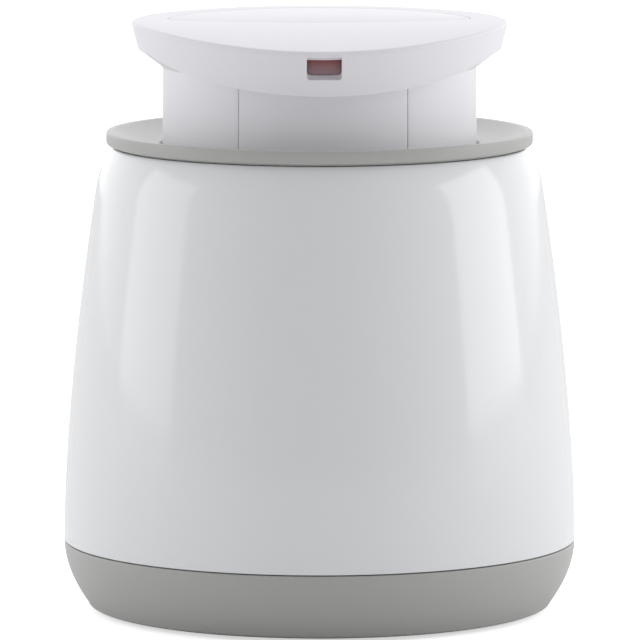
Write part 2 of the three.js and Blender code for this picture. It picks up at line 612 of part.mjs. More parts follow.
function idlerGear() {
  const largeTop = IDLER_LARGE_BOTTOM + IDLER_LARGE_WIDTH;
  const smallTop = HEAD_GEAR_BOTTOM + GEAR_WIDTH + 0.6;
  const large = gear(IDLER_LARGE_TEETH, idlerLargePhase, IDLER_LARGE_BOTTOM, largeTop, IDLER_AT, PIN_HOLE);
  const small = gear(IDLER_SMALL_TEETH, idlerSmallPhase, largeTop - 0.2, smallTop, IDLER_AT, PIN_HOLE);
  return large.add(small);
}

function motorPinion() {
  const bottom = IDLER_LARGE_BOTTOM - 0.4;
  const top = IDLER_LARGE_BOTTOM + IDLER_LARGE_WIDTH + 0.4;
  const teeth = slab(gearShape(PINION_TEETH, pinionPhase), bottom, top).translate([...MOTOR_AT, 0]);
  return teeth.add(rod(PIN_RADIUS, MOTOR_TOP - 6, bottom + 1, MOTOR_AT, 12));
}

function motor() {
  const can = turned([
    [0, MOTOR_BOTTOM - 1.5],
    [2.6, MOTOR_BOTTOM - 1.5],
    [2.6, MOTOR_BOTTOM],
    [MOTOR_RADIUS - 0.8, MOTOR_BOTTOM],
    [MOTOR_RADIUS, MOTOR_BOTTOM + 0.8],
    [MOTOR_RADIUS, MOTOR_TOP - 0.8],
    [MOTOR_RADIUS - 0.8, MOTOR_TOP],
    [3, MOTOR_TOP],
    [3, PLATE_TOP - 0.6],
    [0, PLATE_TOP - 0.6],
  ], 24).translate([MOTOR_AT[0], MOTOR_AT[1], 0]);
  return can.subtract(rod(PIN_HOLE, MOTOR_TOP - 7, PLATE_TOP + 1, MOTOR_AT, 12));
}

function gearPlate() {
  const centre = [IDLER_AT[0] / 2, IDLER_AT[1]];
  const reach = Math.max(...FRAME_POSTS.map((at) => Math.hypot(at[0] - centre[0], at[1] - centre[1]))) + 4.5;
  const plate = rod(reach, PLATE_BOTTOM, PLATE_TOP, centre, 28);
  const holder = rod(HOLDER_RADIUS, LASER_BOTTOM + 3, PLATE_BOTTOM + 0.5, [0, 0], 20);
  const laserHole = rod(LASER_RADIUS + GAP, LASER_BOTTOM, PLATE_TOP + 1, [0, 0], 20);
  const motorHole = rod(3 + GAP, PLATE_BOTTOM - 1, PLATE_TOP + 1, MOTOR_AT);
  const axleHole = rod(PIN_HOLE, PLATE_BOTTOM + 0.6, PLATE_TOP + 1, IDLER_AT, 10);
  const postHoles = FRAME_POSTS.map((at) => rod(SCREW_HOLE, PLATE_BOTTOM - 1, PLATE_TOP + 1, at, 10));
  return cutBy(plate.add(holder), laserHole, motorHole, axleHole, ...postHoles);
}

const idlerAxle = () => rod(PIN_RADIUS, PLATE_BOTTOM + 0.6 + GAP, FRAME_FLOOR - GAP, IDLER_AT, 10);

function laserModule() {
  return turned([
    [0, LASER_BOTTOM],
    [LASER_RADIUS - 0.5, LASER_BOTTOM],
    [LASER_RADIUS, LASER_BOTTOM + 0.5],
    [LASER_RADIUS, LASER_TOP - 0.4],
    [LASER_RADIUS - 0.4, LASER_TOP],
    [1.6, LASER_TOP],
    [1.6, LASER_TOP - 1],
    [0, LASER_TOP - 1],
  ], 20);
}

function bearingBush() {
  return turnedRing([
    [SPINDLE_RADIUS + GAP, COLLAR_BOTTOM],
    [BUSH_RADIUS, COLLAR_BOTTOM],
    [BUSH_RADIUS, COLLAR_TOP + GAP],
    [COLLAR_RADIUS, COLLAR_TOP + GAP],
    [COLLAR_RADIUS, NECK_BOTTOM - GAP],
    [SPINDLE_RADIUS + GAP, NECK_BOTTOM - GAP],
  ], 32);
}

function spindleClip() {
  const bottom = HEAD_GEAR_BOTTOM + GEAR_WIDTH + GAP;
  const ring = tube(BUSH_RADIUS, SPINDLE_RADIUS + GAP, bottom, COLLAR_BOTTOM - 2 * GAP, 28);
  return ring.subtract(block([0, BUSH_RADIUS + 1], [-2.5, 2.5], [bottom - 1, COLLAR_BOTTOM + 1]));
}

// ---------------------------------------------------------------- spinning neck and head
function neckFloor() {
  const disc = turnedRing([
    [SPINDLE_BORE, SPINDLE_BOTTOM],
    [SPINDLE_RADIUS, SPINDLE_BOTTOM],
    [SPINDLE_RADIUS, NECK_BOTTOM],
    [NECK_BORE - GAP, NECK_BOTTOM],
    [NECK_BORE - GAP, NECK_FLOOR_TOP],
    [SPINDLE_BORE, NECK_FLOOR_TOP],
  ], 32);
  const holes = HEAD_SCREWS.map((at) => rod(SCREW_HOLE, NECK_BOTTOM - 1, NECK_FLOOR_TOP + 1, at, 10));
  return cutBy(disc, ...holes);
}

// Outer form of the head below its top face: drafted wall, leaning skirt, flat underside and sloping front.
const wallRadius = (height) => HEAD_RADIUS - HEAD_DRAFT * (HEAD_TOP - height);

function headForm() {
  const top = HEAD_TOP + 1;
  const disc = turned([
    [0, HEAD_UNDER],
    [NECK_RADIUS, HEAD_UNDER],
    [wallRadius(WALL_LOW), WALL_LOW],
    [wallRadius(top), top],
    [0, top],
  ]);
  const low = HEAD_UNDER - 8;
  const high = WALL_LOW + 1;
  const cone = turned([[0, low], [wallRadius(low), low], [wallRadius(high), high], [0, high]]);
  return disc.add(cone.intersect(frontWedge(0)));
}

// The sloping front of the head as a prism, its slope raised by the given amount.
function frontWedge(raised) {
  const far = -HEAD_RADIUS - 4;
  const bend = -UNDER_BEND_FRONT;
  return prismAlongX([
    [bend, WALL_LOW + raised],
    [far, WALL_LOW + raised - UNDER_SLOPE * (bend - far)],
    [far, WALL_LOW + 1 + raised],
    [bend, WALL_LOW + 1 + raised],
  ], HEAD_RADIUS + 4);
}

// Everything above the head's curved top face, which may be lowered by the given amount.
function aboveTop(lowered) {
  const reach = HEAD_RADIUS + 6;
  const level = HEAD_TOP - lowered;
  const sweep = Math.asin((reach - TOP_BEND_FRONT) / TOP_BEND_RADIUS);
  const arc = steps(sweep, 0, 9).map((angle) => [
    -TOP_BEND_FRONT - TOP_BEND_RADIUS * Math.sin(angle),
    level - TOP_BEND_RADIUS * (1 - Math.cos(angle)),
  ]);
  return prismAlongX([...arc, [reach, level], [reach, level + 20], [-reach, level + 20]], reach);
}

function apertureShape(extra) {
  const halfWidth = APERTURE_WIDTH / 2 + extra;
  const top = APERTURE_HEIGHT / 2 + extra;
  const corner = 1.9 + extra; // large lower corners
  const shape = new THREE.Shape();
  shape.moveTo(-halfWidth, top);
  shape.lineTo(-halfWidth, -top + corner);
  shape.absarc(-halfWidth + corner, -top + corner, corner, Math.PI, 1.5 * Math.PI);
  shape.absarc(halfWidth - corner, -top + corner, corner, 1.5 * Math.PI, 2 * Math.PI);
  shape.lineTo(halfWidth, top);
  return shape;
}

// The aperture's outline as a prism along Y.
function aperturePrism(extra, near, far) {
  const options = { depth: far - near, bevelEnabled: false, curveSegments: 4 };
  const geometry = new THREE.ExtrudeGeometry(apertureShape(extra), options);
  geometry.rotateX(Math.PI / 2);
  return solid(geometry.translate(0, far, APERTURE_MIDDLE));
}

const FRONT = -wallRadius(APERTURE_MIDDLE); // front wall's outer face at the aperture
const WINDOW_FRONT = FRONT + 3.2;
const WINDOW_THICKNESS = 1.2;

function headBowl() {
  const coverUnder = COVER_RIM + GAP;
  const inner = (height) => wallRadius(height) - HEAD_SHELL;
  const floor = HEAD_UNDER + HEAD_SHELL;
  const room = turned([
    [0, floor],
    [NECK_RADIUS - 1.5, floor],
    [inner(WALL_LOW + 0.6), WALL_LOW + 1.2],
    [inner(HEAD_TOP + 2), HEAD_TOP + 2],
    [0, HEAD_TOP + 2],
  ]);
  const low = HEAD_UNDER - 6;
  const high = WALL_LOW + 3;
  const frontRoom = turned([[0, low], [inner(low), low], [inner(high), high], [0, high]])
    .intersect(frontWedge(HEAD_SHELL + 0.2));
  const hole = rod(HEAD_HOLE, HEAD_UNDER - 10, HEAD_TOP, [0, 0], 40);
  const posts = HEAD_SCREWS.map((at) => rod(HEAD_POST_RADIUS, NECK_FLOOR_TOP + GAP, HEAD_UNDER + 1, at));
  const postHoles = HEAD_SCREWS.map((at) => (
    rod(SCREW_HOLE, NECK_FLOOR_TOP - 1, NECK_FLOOR_TOP + 10, at, 10)
  ));
  const opening = aperturePrism(0, FRONT - 2, FRONT + 8);
  const coverHoles = COVER_SCREWS.map((at) => rod(SCREW_HOLE, HEAD_UNDER - 1, HEAD_UNDER + 4, at, 10));
  const hollow = cutBy(headForm(), room, frontRoom, hole, aboveTop(coverUnder));
  return cutBy(joined(hollow, ...posts), ...postHoles, ...coverHoles, opening);
}

// Outline of the panel let into the rear of the head's top face: a wide front arc and a round back.

function panelShape(shrink) {
  const frontRadius = PANEL_ARC - shrink;
  const centre = PANEL_ARC - PANEL_FRONT;
  const backRadius = PANEL_RADIUS - shrink;
  const half = 0.42; // half angle of the front arc kept before the corner rounding starts
  const backStart = 0.16; // angle above the X axis at which the back arc starts
  const shape = new THREE.Shape();
  shape.absarc(0, centre, frontRadius, -Math.PI / 2 - half, -Math.PI / 2 + half);
  const corner = [backRadius * 0.995, centre - Math.sqrt(frontRadius ** 2 - backRadius ** 2)];
  const backPoint = polar(backRadius, THREE.MathUtils.radToDeg(backStart));
  shape.quadraticCurveTo(...corner, ...backPoint);
  shape.absarc(0, 0, backRadius, backStart, Math.PI - backStart);
  shape.quadraticCurveTo(-corner[0], corner[1],
    frontRadius * Math.cos(-Math.PI / 2 - half), centre + frontRadius * Math.sin(-Math.PI / 2 - half));
  return shape;
}

function headCover() {
  const disc = turned([
    [0, HEAD_UNDER],
    [wallRadius(HEAD_UNDER), HEAD_UNDER],
    [wallRadius(HEAD_TOP + 1), HEAD_TOP + 1],
    [0, HEAD_TOP + 1],
  ]);
  const core = rod(PANEL_RADIUS + 2 * GAP, HEAD_UNDER, HEAD_TOP + 1, [0, 0], ROUND);
  const rim = disc.intersect(aboveTop(COVER_RIM));
  const plate = rim.add(core.intersect(aboveTop(COVER_CORE))).subtract(aboveTop(0));
  const recess = slab(panelShape(0), HEAD_TOP - PANEL_DEPTH - GAP, HEAD_TOP + 2, 20);
  const postBottom = HEAD_UNDER + HEAD_SHELL + GAP;
  const postTop = HEAD_TOP - COVER_CORE + GAP;
  const posts = COVER_SCREWS.map((at) => rod(COVER_POST_RADIUS, postBottom, postTop, at));
  const holes = COVER_SCREWS.map((at) => rod(SCREW_HOLE, postBottom - 1, postBottom + 5, at, 10));
  return cutBy(joined(plate.subtract(recess), mirrorWedge(), ...posts), ...holes);
}

const topPanel = () => slab(panelShape(GAP), HEAD_TOP - PANEL_DEPTH, HEAD_TOP, 20).subtract(aboveTop(0));

function neckTube() {
  const tall = tube(NECK_RADIUS, NECK_BORE, NECK_BOTTOM, HEAD_UNDER + 4);
  return tall.subtract(headForm().translate([0, 0, -GAP]));
}

// A wedge with its point on the axis that covers the neck's front panel and part of each seam.
function panelWedge(extra) {
  const reach = 2 * NECK_RADIUS;
  const half = THREE.MathUtils.degToRad(PANEL_HALF_ANGLE);
  const shape = new THREE.Shape([
    new THREE.Vector2(0, extra / Math.sin(half)),
    new THREE.Vector2(-reach * Math.sin(half), -reach * Math.cos(half) + extra / Math.sin(half)),
    new THREE.Vector2(reach * Math.sin(half), -reach * Math.cos(half) + extra / Math.sin(half)),
  ]);
  return slab(shape, NECK_BOTTOM - 1, HEAD_TOP);
}

const neckRearShell = () => neckTube().subtract(panelWedge(GAP / 2));
const neckFrontPanel = () => neckTube().intersect(panelWedge(-GAP / 2));

// The wedge moulded under the head's cover that carries the mirror.
function mirrorWedge() {
  const halfWidth = 5;
  const top = HEAD_TOP - COVER_CORE + GAP;
  const half = 5;
  return prismAlongX([
    [-half, APERTURE_MIDDLE + half],
    [-half, top],
    [half + 3, top],
    [half + 3, APERTURE_MIDDLE - half],
    [half, APERTURE_MIDDLE - half],
  ], halfWidth);
}

function mirror() {
  const lift = GAP + 0.5; // mirror's mid-plane off the bracket's face
  const plate = new THREE.BoxGeometry(9, 1, 13);
  plate.rotateX(Math.PI / 4);
  return solid(plate.translate(0, -lift * Math.SQRT1_2, APERTURE_MIDDLE - lift * Math.SQRT1_2));
}

function beamWindow() {
  return aperturePrism(0, WINDOW_FRONT, WINDOW_FRONT + WINDOW_THICKNESS);
}

// ---------------------------------------------------------------- assembly
add('base_cover', baseCover(), softGrey());
add('body_shell', bodyShell(), glossWhite());
add('battery_door', batteryDoor(), softGrey());
add('battery_box', batteryBox(), innerPlastic());
FEET.forEach((at, i) => add(`foot_${i + 1}`, rod(FOOT_RADIUS, 0, FOOT_HEIGHT, at, 16), rubber()));

for (let i = 0; i < CELL_COUNT; i += 1) {
  add(`battery_cell_${i + 1}`, batteryCell(cellX(i), i % 2 === 0 ? 1 : -1), finish(0x2f5a3c, 0.4, 0.3));
}
// A cell's button is at the end its direction points to, and its spring at the other.
const place = (i, end) => ({ x: cellX(i), spring: (i % 2 === 0 ? 1 : -1) !== end });
add('contact_front_left', batteryContact(-1, [place(0, -1), place(1, -1)]), steel());
add('contact_front_right', batteryContact(-1, [place(2, -1), place(3, -1)]), steel());
add('contact_rear_left', batteryContact(1, [place(0, 1)]), steel());
add('contact_rear_middle', batteryContact(1, [place(1, 1), place(2, 1)]), steel());
add('contact_rear_right', batteryContact(1, [place(3, 1)]), steel());

add('chassis_deck', chassisDeck(), innerPlastic());
add('circuit_board', circuitBoard(), finish(0x2c6b45, 0.55));
add('selector_ring', selectorRing(), softGrey());
add('selector_wiper', selectorWiper(), brass());
add('selector_track', selectorTrack(), finish(0x2c6b45, 0.55));
add('top_frame', topFrame(), innerPlastic());
add('bearing_bush', bearingBush(), brass());
add('gear_plate', gearPlate(), innerPlastic());
add('motor', motor(), steel());
add('motor_pinion', motorPinion(), brass());
add('idler_axle', idlerAxle(), steel());
add('idler_gear', idlerGear(), gearPlastic());
add('laser_module', laserModule(), brass());

add('head_gear', headGear(), gearPlastic());
add('spindle_clip', spindleClip(), steel());
add('neck_floor', neckFloor(), innerPlastic());
add('neck_rear_shell', neckRearShell(), satinWhite());
add('neck_front_panel', neckFrontPanel(), satinWhite());
add('head_bowl', headBowl(), satinWhite());
add('head_cover', headCover(), satinWhite());
add('top_panel', topPanel(), satinWhite());
add('mirror', mirror(), finish(0xdfe3e8, 0.05, 1));
add('beam_window', beamWindow(), finish(0x6e4a48, 0.25));

POSTS.forEach(({ at }, i) => {
  screwUp(`body_screw_${i + 1}`, at, FOOT_PROUD + SCREW_SINK - GAP, DECK_TOP + 6);
});
FRAME_SCREWS.forEach((at, i) => {
  screwUp(`frame_screw_${i + 1}`, at, FRAME_TOP - FRAME_THICKNESS - GAP, FRAME_THICKNESS + 2 * GAP + 1.6);
});
FRAME_POSTS.forEach((at, i) => screwUp(`plate_screw_${i + 1}`, at, PLATE_BOTTOM - GAP, PLATE_THICKNESS + 8));
HEAD_SCREWS.forEach((at, i) => screwUp(`neck_screw_${i + 1}`, at, NECK_BOTTOM - GAP, 10));
BOARD_CORNERS.slice(0, 2).forEach((at, i) => {
  screwDown(`board_screw_${i + 1}`, at, BOARD_BOTTOM + BOARD_THICKNESS + GAP, 5);
});

const boardTop = BOARD_BOTTOM + BOARD_THICKNESS + GAP + WIRE_RADIUS;
[['battery_lead_black', -1, 0x222222], ['battery_lead_red', 1, 0xb02a2a]].forEach(([name, side, colour]) => {
  const [x, y] = leadPlace(side);
  wire(name, [
    [x, y, CELL_HEIGHT + 6],
    [x, y, BOX_TOP + 2],
    [x, y, DECK_TOP + 4],
    [x, y - 1, boardTop + 1],
    [x * 0.8, BOARD_HALF_Y - 6, boardTop + 1],
  ], colour);
});
wire('motor_leads', [
  [MOTOR_AT[0] + 5, MOTOR_AT[1], MOTOR_BOTTOM - 1],
  [MOTOR_AT[0] + 6, MOTOR_AT[1] - 4, MOTOR_BOTTOM - 6],
  [MOTOR_AT[0] + 7, MOTOR_AT[1] - 14, boardTop + 10],
  [-15, -10, boardTop + 5.4],
], 0x2f55a8);
wire('laser_leads', [
  [0, 0, LASER_BOTTOM - GAP - 0.2],
  [0, -2, LASER_BOTTOM - 6],
  [8, -6, boardTop + 14],
  [14, -9.5, boardTop + 5.4],
], 0xc9a227);
wire('selector_leads', [
  [TRACK_LEAD[0], TRACK_LEAD[1], FRAME_FLOOR + FRAME_THICKNESS - 0.3],
  [TRACK_LEAD[0], TRACK_LEAD[1], FRAME_FLOOR - 6],
  [TRACK_LEAD[0] + 2, TRACK_LEAD[1] - 2, PLATE_BOTTOM - 10],
  [TRACK_LEAD[0] - 6, TRACK_LEAD[1] + 6, boardTop + 18],
  [9.5, 8, boardTop + 6],
  [9.5, 8, boardTop + 1.8],
], 0x7a7a80);

export default assembly;
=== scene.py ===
"""Looks of a table-top rotating laser pet toy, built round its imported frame.

Sizes are in millimetres until a finished mesh is scaled to metres. The toy stands on the floor at z = 0,
its spin axis is Z, and the beam leaves the head towards -Y.
"""

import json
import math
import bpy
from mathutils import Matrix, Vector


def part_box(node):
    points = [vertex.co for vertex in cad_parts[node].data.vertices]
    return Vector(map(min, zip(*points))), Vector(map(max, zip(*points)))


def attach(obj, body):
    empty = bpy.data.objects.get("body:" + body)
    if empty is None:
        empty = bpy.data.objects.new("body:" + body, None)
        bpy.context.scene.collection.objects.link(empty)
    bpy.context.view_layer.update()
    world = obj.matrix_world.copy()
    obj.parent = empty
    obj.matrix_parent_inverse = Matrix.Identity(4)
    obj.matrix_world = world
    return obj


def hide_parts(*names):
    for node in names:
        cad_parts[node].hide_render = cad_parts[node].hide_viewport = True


bl_info = {
    "name": "Rotating laser pet toy",
    "version": (1, 0, 0),
    "blender": (4, 5, 0),
    "location": "View3D > Sidebar > Pet Toy",
    "description": "Builds the visible pieces and finishes of a rotating laser pet toy",
    "category": "Object",
}

from collections import namedtuple

import bmesh
import bpy
from bpy.props import FloatProperty, FloatVectorProperty, IntProperty, PointerProperty
from mathutils import Matrix, Vector

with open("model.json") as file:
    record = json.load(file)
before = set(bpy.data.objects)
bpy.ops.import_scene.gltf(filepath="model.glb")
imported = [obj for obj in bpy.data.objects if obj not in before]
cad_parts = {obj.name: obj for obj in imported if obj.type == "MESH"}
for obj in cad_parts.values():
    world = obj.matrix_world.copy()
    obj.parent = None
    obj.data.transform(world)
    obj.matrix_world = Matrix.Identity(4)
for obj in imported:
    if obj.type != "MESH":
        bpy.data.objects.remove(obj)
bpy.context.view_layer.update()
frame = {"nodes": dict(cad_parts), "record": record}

MM = 0.001


def span(node):
    """A frame node's lowest and highest corners in millimetres."""
    low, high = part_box(node)
    return low / MM, high / MM


# ------------------------------------------------------------------ sizes read from the frame
BODY_LOW, BODY_HIGH = span("body_shell")
BASE_LOW, BASE_HIGH = span("base_cover")
RING_LOW, RING_HIGH = span("selector_ring")
NECK_LOW, NECK_HIGH = span("neck_rear_shell")
COVER_HIGH = span("head_cover")[1]
WINDOW_LOW, WINDOW_HIGH = span("beam_window")
DOOR_LOW, DOOR_HIGH = span("battery_door")
BOX_HIGH = span("battery_box")[1]

BODY_RADIUS = BODY_HIGH.y
BODY_TOP = BODY_HIGH.z
SEAM = BODY_LOW.z - 0.3
RING_RADIUS = RING_HIGH.y
RING_TOP = RING_HIGH.z
NECK_RADIUS = NECK_HIGH.y
HEAD_RADIUS = COVER_HIGH.y
HEAD_TOP = COVER_HIGH.z
BASE_BOTTOM = BASE_LOW.z

# ------------------------------------------------------------------ shape values of the toy's own forms
WALL = 2.0
BODY_WIDEST = SEAM + 3.2
BODY_TAPER = 9.2
TAPER_POWER = 1.585
SHOULDER_DROP = 2.3
SHOULDER_HEIGHT = 9.4
BASE_TUCK = 7.0
TUCK_POWER = 1.9
FLAT_RADIUS = BODY_RADIUS - BASE_TUCK - 1.8
TURN_UP = 1.8
FLOOR_THICKNESS = 3.0
SEAM_GAP = 0.25

RING_BAND = 3.1
RING_DISH = 2.9
RING_CLEARANCE = 0.12
HEAD_DRAFT = 0.26
WALL_HEIGHT = 6.2
SKIRT_DEPTH = 4.4
TOP_BEND = 4.7
TOP_BEND_RADIUS = 205.0
UNDER_BEND = 14.0
UNDER_SLOPE = 0.282
UNDER_SOFTNESS = 1.1
APERTURE_WIDTH = 8.0
APERTURE_HEIGHT = 5.2
APERTURE_BELOW_TOP = 7.7
APERTURE_CORNER = 0.7
APERTURE_TOP_CORNER = 0.35
SILL_RISE = 1.1
SILL_CORNER = 1.0
WINDOW_BACK = 0.1
# Painted light: the beam window is painted a pale lilac from this share of the aperture's height down to its
# lower edge, standing in for light falling on the sloping sill.
PAINTED_LIGHT_TOP = 0.8
PAINTED_SILL_LIGHT = (0.5, 0.38, 0.44)
RIM_THICKNESS = 0.9
HEAD_SEAM = 0.02
COVER_CORE = 2.6
WEDGE_BACK = 3.0
SKIRT_BLEND = 6.0
SKIRT_WALL = 2.0
NECK_FIT = 0.06
INNER_FOOT_INSET = 3.2
INNER_FOOT_RISE = 1.4
CORE_GAP = 0.5
APERTURE_ROUND = 0.22
RECESS_ROUND = 0.16
PANEL_ROUND = 0.2
BOWL_WALL = WALL + 0.2

PANEL_RADIUS = 36.0
PANEL_FRONT = 6.6
PANEL_ARC = 79.0
PANEL_CORNER = 4.0
PANEL_DEPTH = 1.0
PANEL_GROOVE = 0.3

CELL_BUTTON = 1.3
BUTTON_RADIUS = 2.7

WALL_LOW = HEAD_TOP - WALL_HEIGHT
BOWL_RIM = HEAD_TOP - RIM_THICKNESS - HEAD_SEAM
HEAD_UNDER = WALL_LOW - SKIRT_DEPTH
APERTURE_BOTTOM = HEAD_TOP - APERTURE_BELOW_TOP - APERTURE_HEIGHT / 2

# ------------------------------------------------------------------ view and stage, in degrees and metres
VIEW_AZIMUTH = -1.5
VIEW_ELEVATION = 6.93
VIEW_DISTANCE = 1.818
VIEW_TARGET = (0.0001, 0.0, 0.0678)
VIEW_LENS = 436.0

FLOOR_RADIUS = 4.0
FLOOR_CLEARANCE = 0.00002
FLOOR_OPENING = (FLAT_RADIUS - 6.0) * MM
FLOOR_BOUNCE = (0.93, 0.93, 0.93)
FLOOR_TONE = (0.96, 0.96, 0.96)
FLOOR_GLOW = 0.6
TENT_FRONT = 0.3
TENT_BACK = 1.55
TENT_UP = -0.22
TENT_RIGHT = 0.06
TENT_TONE = (0.985, 0.99, 1.0)
BACKDROP = 1.05
LAMPS = {
    "left_softbox": ((-1.5, 0.0, 0.45), (1.0, 0.85), 1.15),
    "right_softbox": ((1.4, -0.05, 0.45), (1.0, 0.85), 1.7),
}


def colour_setting(label, what, value):
    """A colour that a user would change."""
    return FloatVectorProperty(
        name=label, description=what, subtype="COLOR", min=0.0, max=1.0, default=value
    )


class PetToySizes(bpy.types.PropertyGroup):
    """Sizes of the moulded details."""

    facets: IntProperty(
        name="Facets", description="Steps round the large turned shells", default=192, min=48
    )
    edge_round: FloatProperty(
        name="Edge round", description="Radius of the moulded edges in millimetres", default=0.45, min=0.1
    )
    head_edge: FloatProperty(
        name="Head edge", description="Radius of the head's top edge in millimetres", default=0.6, min=0.1
    )


class PetToyColours(bpy.types.PropertyGroup):
    """Colours of the visible finishes."""

    gloss_white: colour_setting("Gloss white", "Bell of the body", (0.85, 0.86, 0.875))
    satin_white: colour_setting("Satin white", "Neck and head", (0.90, 0.89, 0.925))
    soft_grey: colour_setting("Soft grey", "Base cover and selector ring", (0.465, 0.465, 0.45))
    window_tint: colour_setting("Window tint", "Beam window", (0.44, 0.14, 0.13))
    cell_sleeve: colour_setting("Cell sleeve", "Battery cells", (0.03, 0.12, 0.06))


def sizes():
    return bpy.context.scene.pet_toy_sizes


def colours():
    return bpy.context.scene.pet_toy_colours


# ------------------------------------------------------------------ outlines
def corner_arc(before, corner, after, radius, count=5):
    """Points of a round corner between two straight stretches."""
    corner = Vector(corner)
    to_before = (Vector(before) - corner).normalized()
    to_after = (Vector(after) - corner).normalized()
    half = to_before.angle(to_after) / 2
    reach = radius / math.tan(half)
    centre = corner + (to_before + to_after).normalized() * (radius / math.sin(half))
    start = corner + to_before * reach - centre
    end = corner + to_after * reach - centre
    turn = start.angle_signed(end)
    points = []
    for i in range(count + 1):
        angle = -turn * i / count
        points.append((
            centre.x + start.x * math.cos(angle) - start.y * math.sin(angle),
            centre.y + start.x * math.sin(angle) + start.y * math.cos(angle),
        ))
    return points


def rounded(corners, closed=True):
    """A profile from (radius, height, corner radius) rows. A corner radius of 0 keeps the corner sharp."""
    points = []
    last = len(corners) - 1
    for i, (x, z, radius) in enumerate(corners):
        if radius == 0 or (not closed and i in (0, last)):
            points.append((x, z))
            continue
        before = corners[i - 1][:2]
        after = corners[(i + 1) % len(corners)][:2]
        points.extend(corner_arc(before, (x, z), after, radius))
    return points


def steps(first, last, count):
    """Evenly spaced values from first to last, both kept."""
    return [first + (last - first) * i / (count - 1) for i in range(count)]


def soft_min(a, b, softness):
    """The smaller of two values, with a smooth change from one to the other."""
    return (a + b - math.sqrt((a - b) ** 2 + softness ** 2)) / 2


# ------------------------------------------------------------------ mesh helpers
SAME_POINT = 1e-5
SHARP_ANGLE = math.radians(38)


def spin_edges(bm, profile, closed=True, facets=None):
    """Spins (radius, height) points a full turn about Z."""
    verts = [bm.verts.new((0, -r, z)) for r, z in profile]
    pairs = list(zip(verts, verts[1:]))
    if closed:
        pairs.append((verts[-1], verts[0]))
    edges = [bm.edges.new(pair) for pair in pairs]
    bmesh.ops.spin(
        bm, geom=verts + edges, cent=(0, 0, 0), axis=(0, 0, 1), dvec=(0, 0, 0),
        angle=2 * math.pi, steps=facets or sizes().facets, use_merge=True,
    )


def turned(corners, closed=True, facets=None):
    """A new bmesh spun from a profile with rounded corners, its doubles merged."""
    bm = bmesh.new()
    spin_edges(bm, rounded(corners, closed), closed, facets)
    bmesh.ops.remove_doubles(bm, verts=bm.verts, dist=SAME_POINT)
    return bm


def circle_edges(bm, centre, radius, z, count):
    """A circle of edges at a height."""
    made = bmesh.ops.create_circle(bm, cap_ends=False, radius=radius, segments=count)
    bmesh.ops.translate(bm, verts=made["verts"], vec=(centre[0], centre[1], z))
    return list({edge for vert in made["verts"] for edge in vert.link_edges})


def loop_edges(bm, points, z):
    """A closed run of edges through flat points at a height."""
    verts = [bm.verts.new((x, y, z)) for x, y in points]
    return [bm.edges.new((a, b)) for a, b in zip(verts, verts[1:] + verts[:1])]


def raise_edges(bm, edges, height):
    """Extrudes a loop of edges straight up or down and returns the new loop."""
    made = bmesh.ops.extrude_edge_only(bm, edges=edges)["geom"]
    verts = [item for item in made if isinstance(item, bmesh.types.BMVert)]
    bmesh.ops.translate(bm, verts=verts, vec=(0, 0, height))
    return [item for item in made if isinstance(item, bmesh.types.BMEdge)]


def fill(bm, *loops):
    """Closes the flat area between an outer loop of edges and the holes in it."""
    edges = [edge for loop in loops for edge in loop]
    bmesh.ops.triangle_fill(bm, use_beauty=True, use_dissolve=False, edges=edges)


def bevel_edges(bm, edges, radius, segments=3):
    """Rounds edges to a radius."""
    bmesh.ops.bevel(
        bm, geom=edges, offset=radius, affect="EDGES", segments=segments, profile=0.5, material=-1,
        clamp_overlap=True,
    )


def rounded_box(bm, low, high, radius):
    """A box between two corners with all its edges rounded."""
    made = bmesh.ops.create_cube(bm, size=1)["verts"]
    size = [b - a for a, b in zip(low, high)]
    middle = [(a + b) / 2 for a, b in zip(low, high)]
    bmesh.ops.scale(bm, verts=made, vec=size)
    bmesh.ops.translate(bm, verts=made, vec=middle)
    bevel_edges(bm, list({edge for vert in made for edge in vert.link_edges}), radius)


def finish_piece(name, bm, material, body, nodes):
    """Turns a millimetre bmesh into a piece of the toy that rides on a body and stands for frame nodes."""
    bmesh.ops.remove_doubles(bm, verts=bm.verts, dist=SAME_POINT)
    bmesh.ops.recalc_face_normals(bm, faces=bm.faces)
    bmesh.ops.scale(bm, vec=(MM, MM, MM), verts=bm.verts)
    for face in bm.faces:
        face.smooth = True
    for edge in bm.edges:
        if len(edge.link_faces) == 2 and edge.calc_face_angle(0) > SHARP_ANGLE:
            edge.smooth = False
    mesh = bpy.data.meshes.new(name)
    bm.to_mesh(mesh)
    bm.free()
    mesh.materials.append(material)
    piece = bpy.data.objects.new(name, mesh)
    bpy.context.scene.collection.objects.link(piece)
    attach(piece, body)
    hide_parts(*nodes)
    return piece


# ------------------------------------------------------------------ node groups shared by the finishes
RIPPLE_SCALE = 90.0
TONE_SCALE = 22.0
DUST_SCALE = 900.0
DUST_START = 0.66
DUST_END = 0.78
DUST_SHARE = 0.12
SMEAR_SCALE = 60.0


def new_group(name, inputs, outputs):
    """A shader node group with named sockets."""
    group = bpy.data.node_groups.new(name, "ShaderNodeTree")
    for label, kind, value in inputs:
        socket = group.interface.new_socket(label, in_out="INPUT", socket_type=kind)
        socket.default_value = value
    for label, kind in outputs:
        group.interface.new_socket(label, in_out="OUTPUT", socket_type=kind)
    return group, group.nodes.new("NodeGroupInput"), group.nodes.new("NodeGroupOutput")


def math_node(tree, operation, first, second):
    """A Math node whose inputs are sockets or plain numbers."""
    node = tree.nodes.new("ShaderNodeMath")
    node.operation = operation
    for socket, value in zip(node.inputs, (first, second)):
        if isinstance(value, (int, float)):
            socket.default_value = value
        else:
            tree.links.new(value, socket)
    return node.outputs[0]


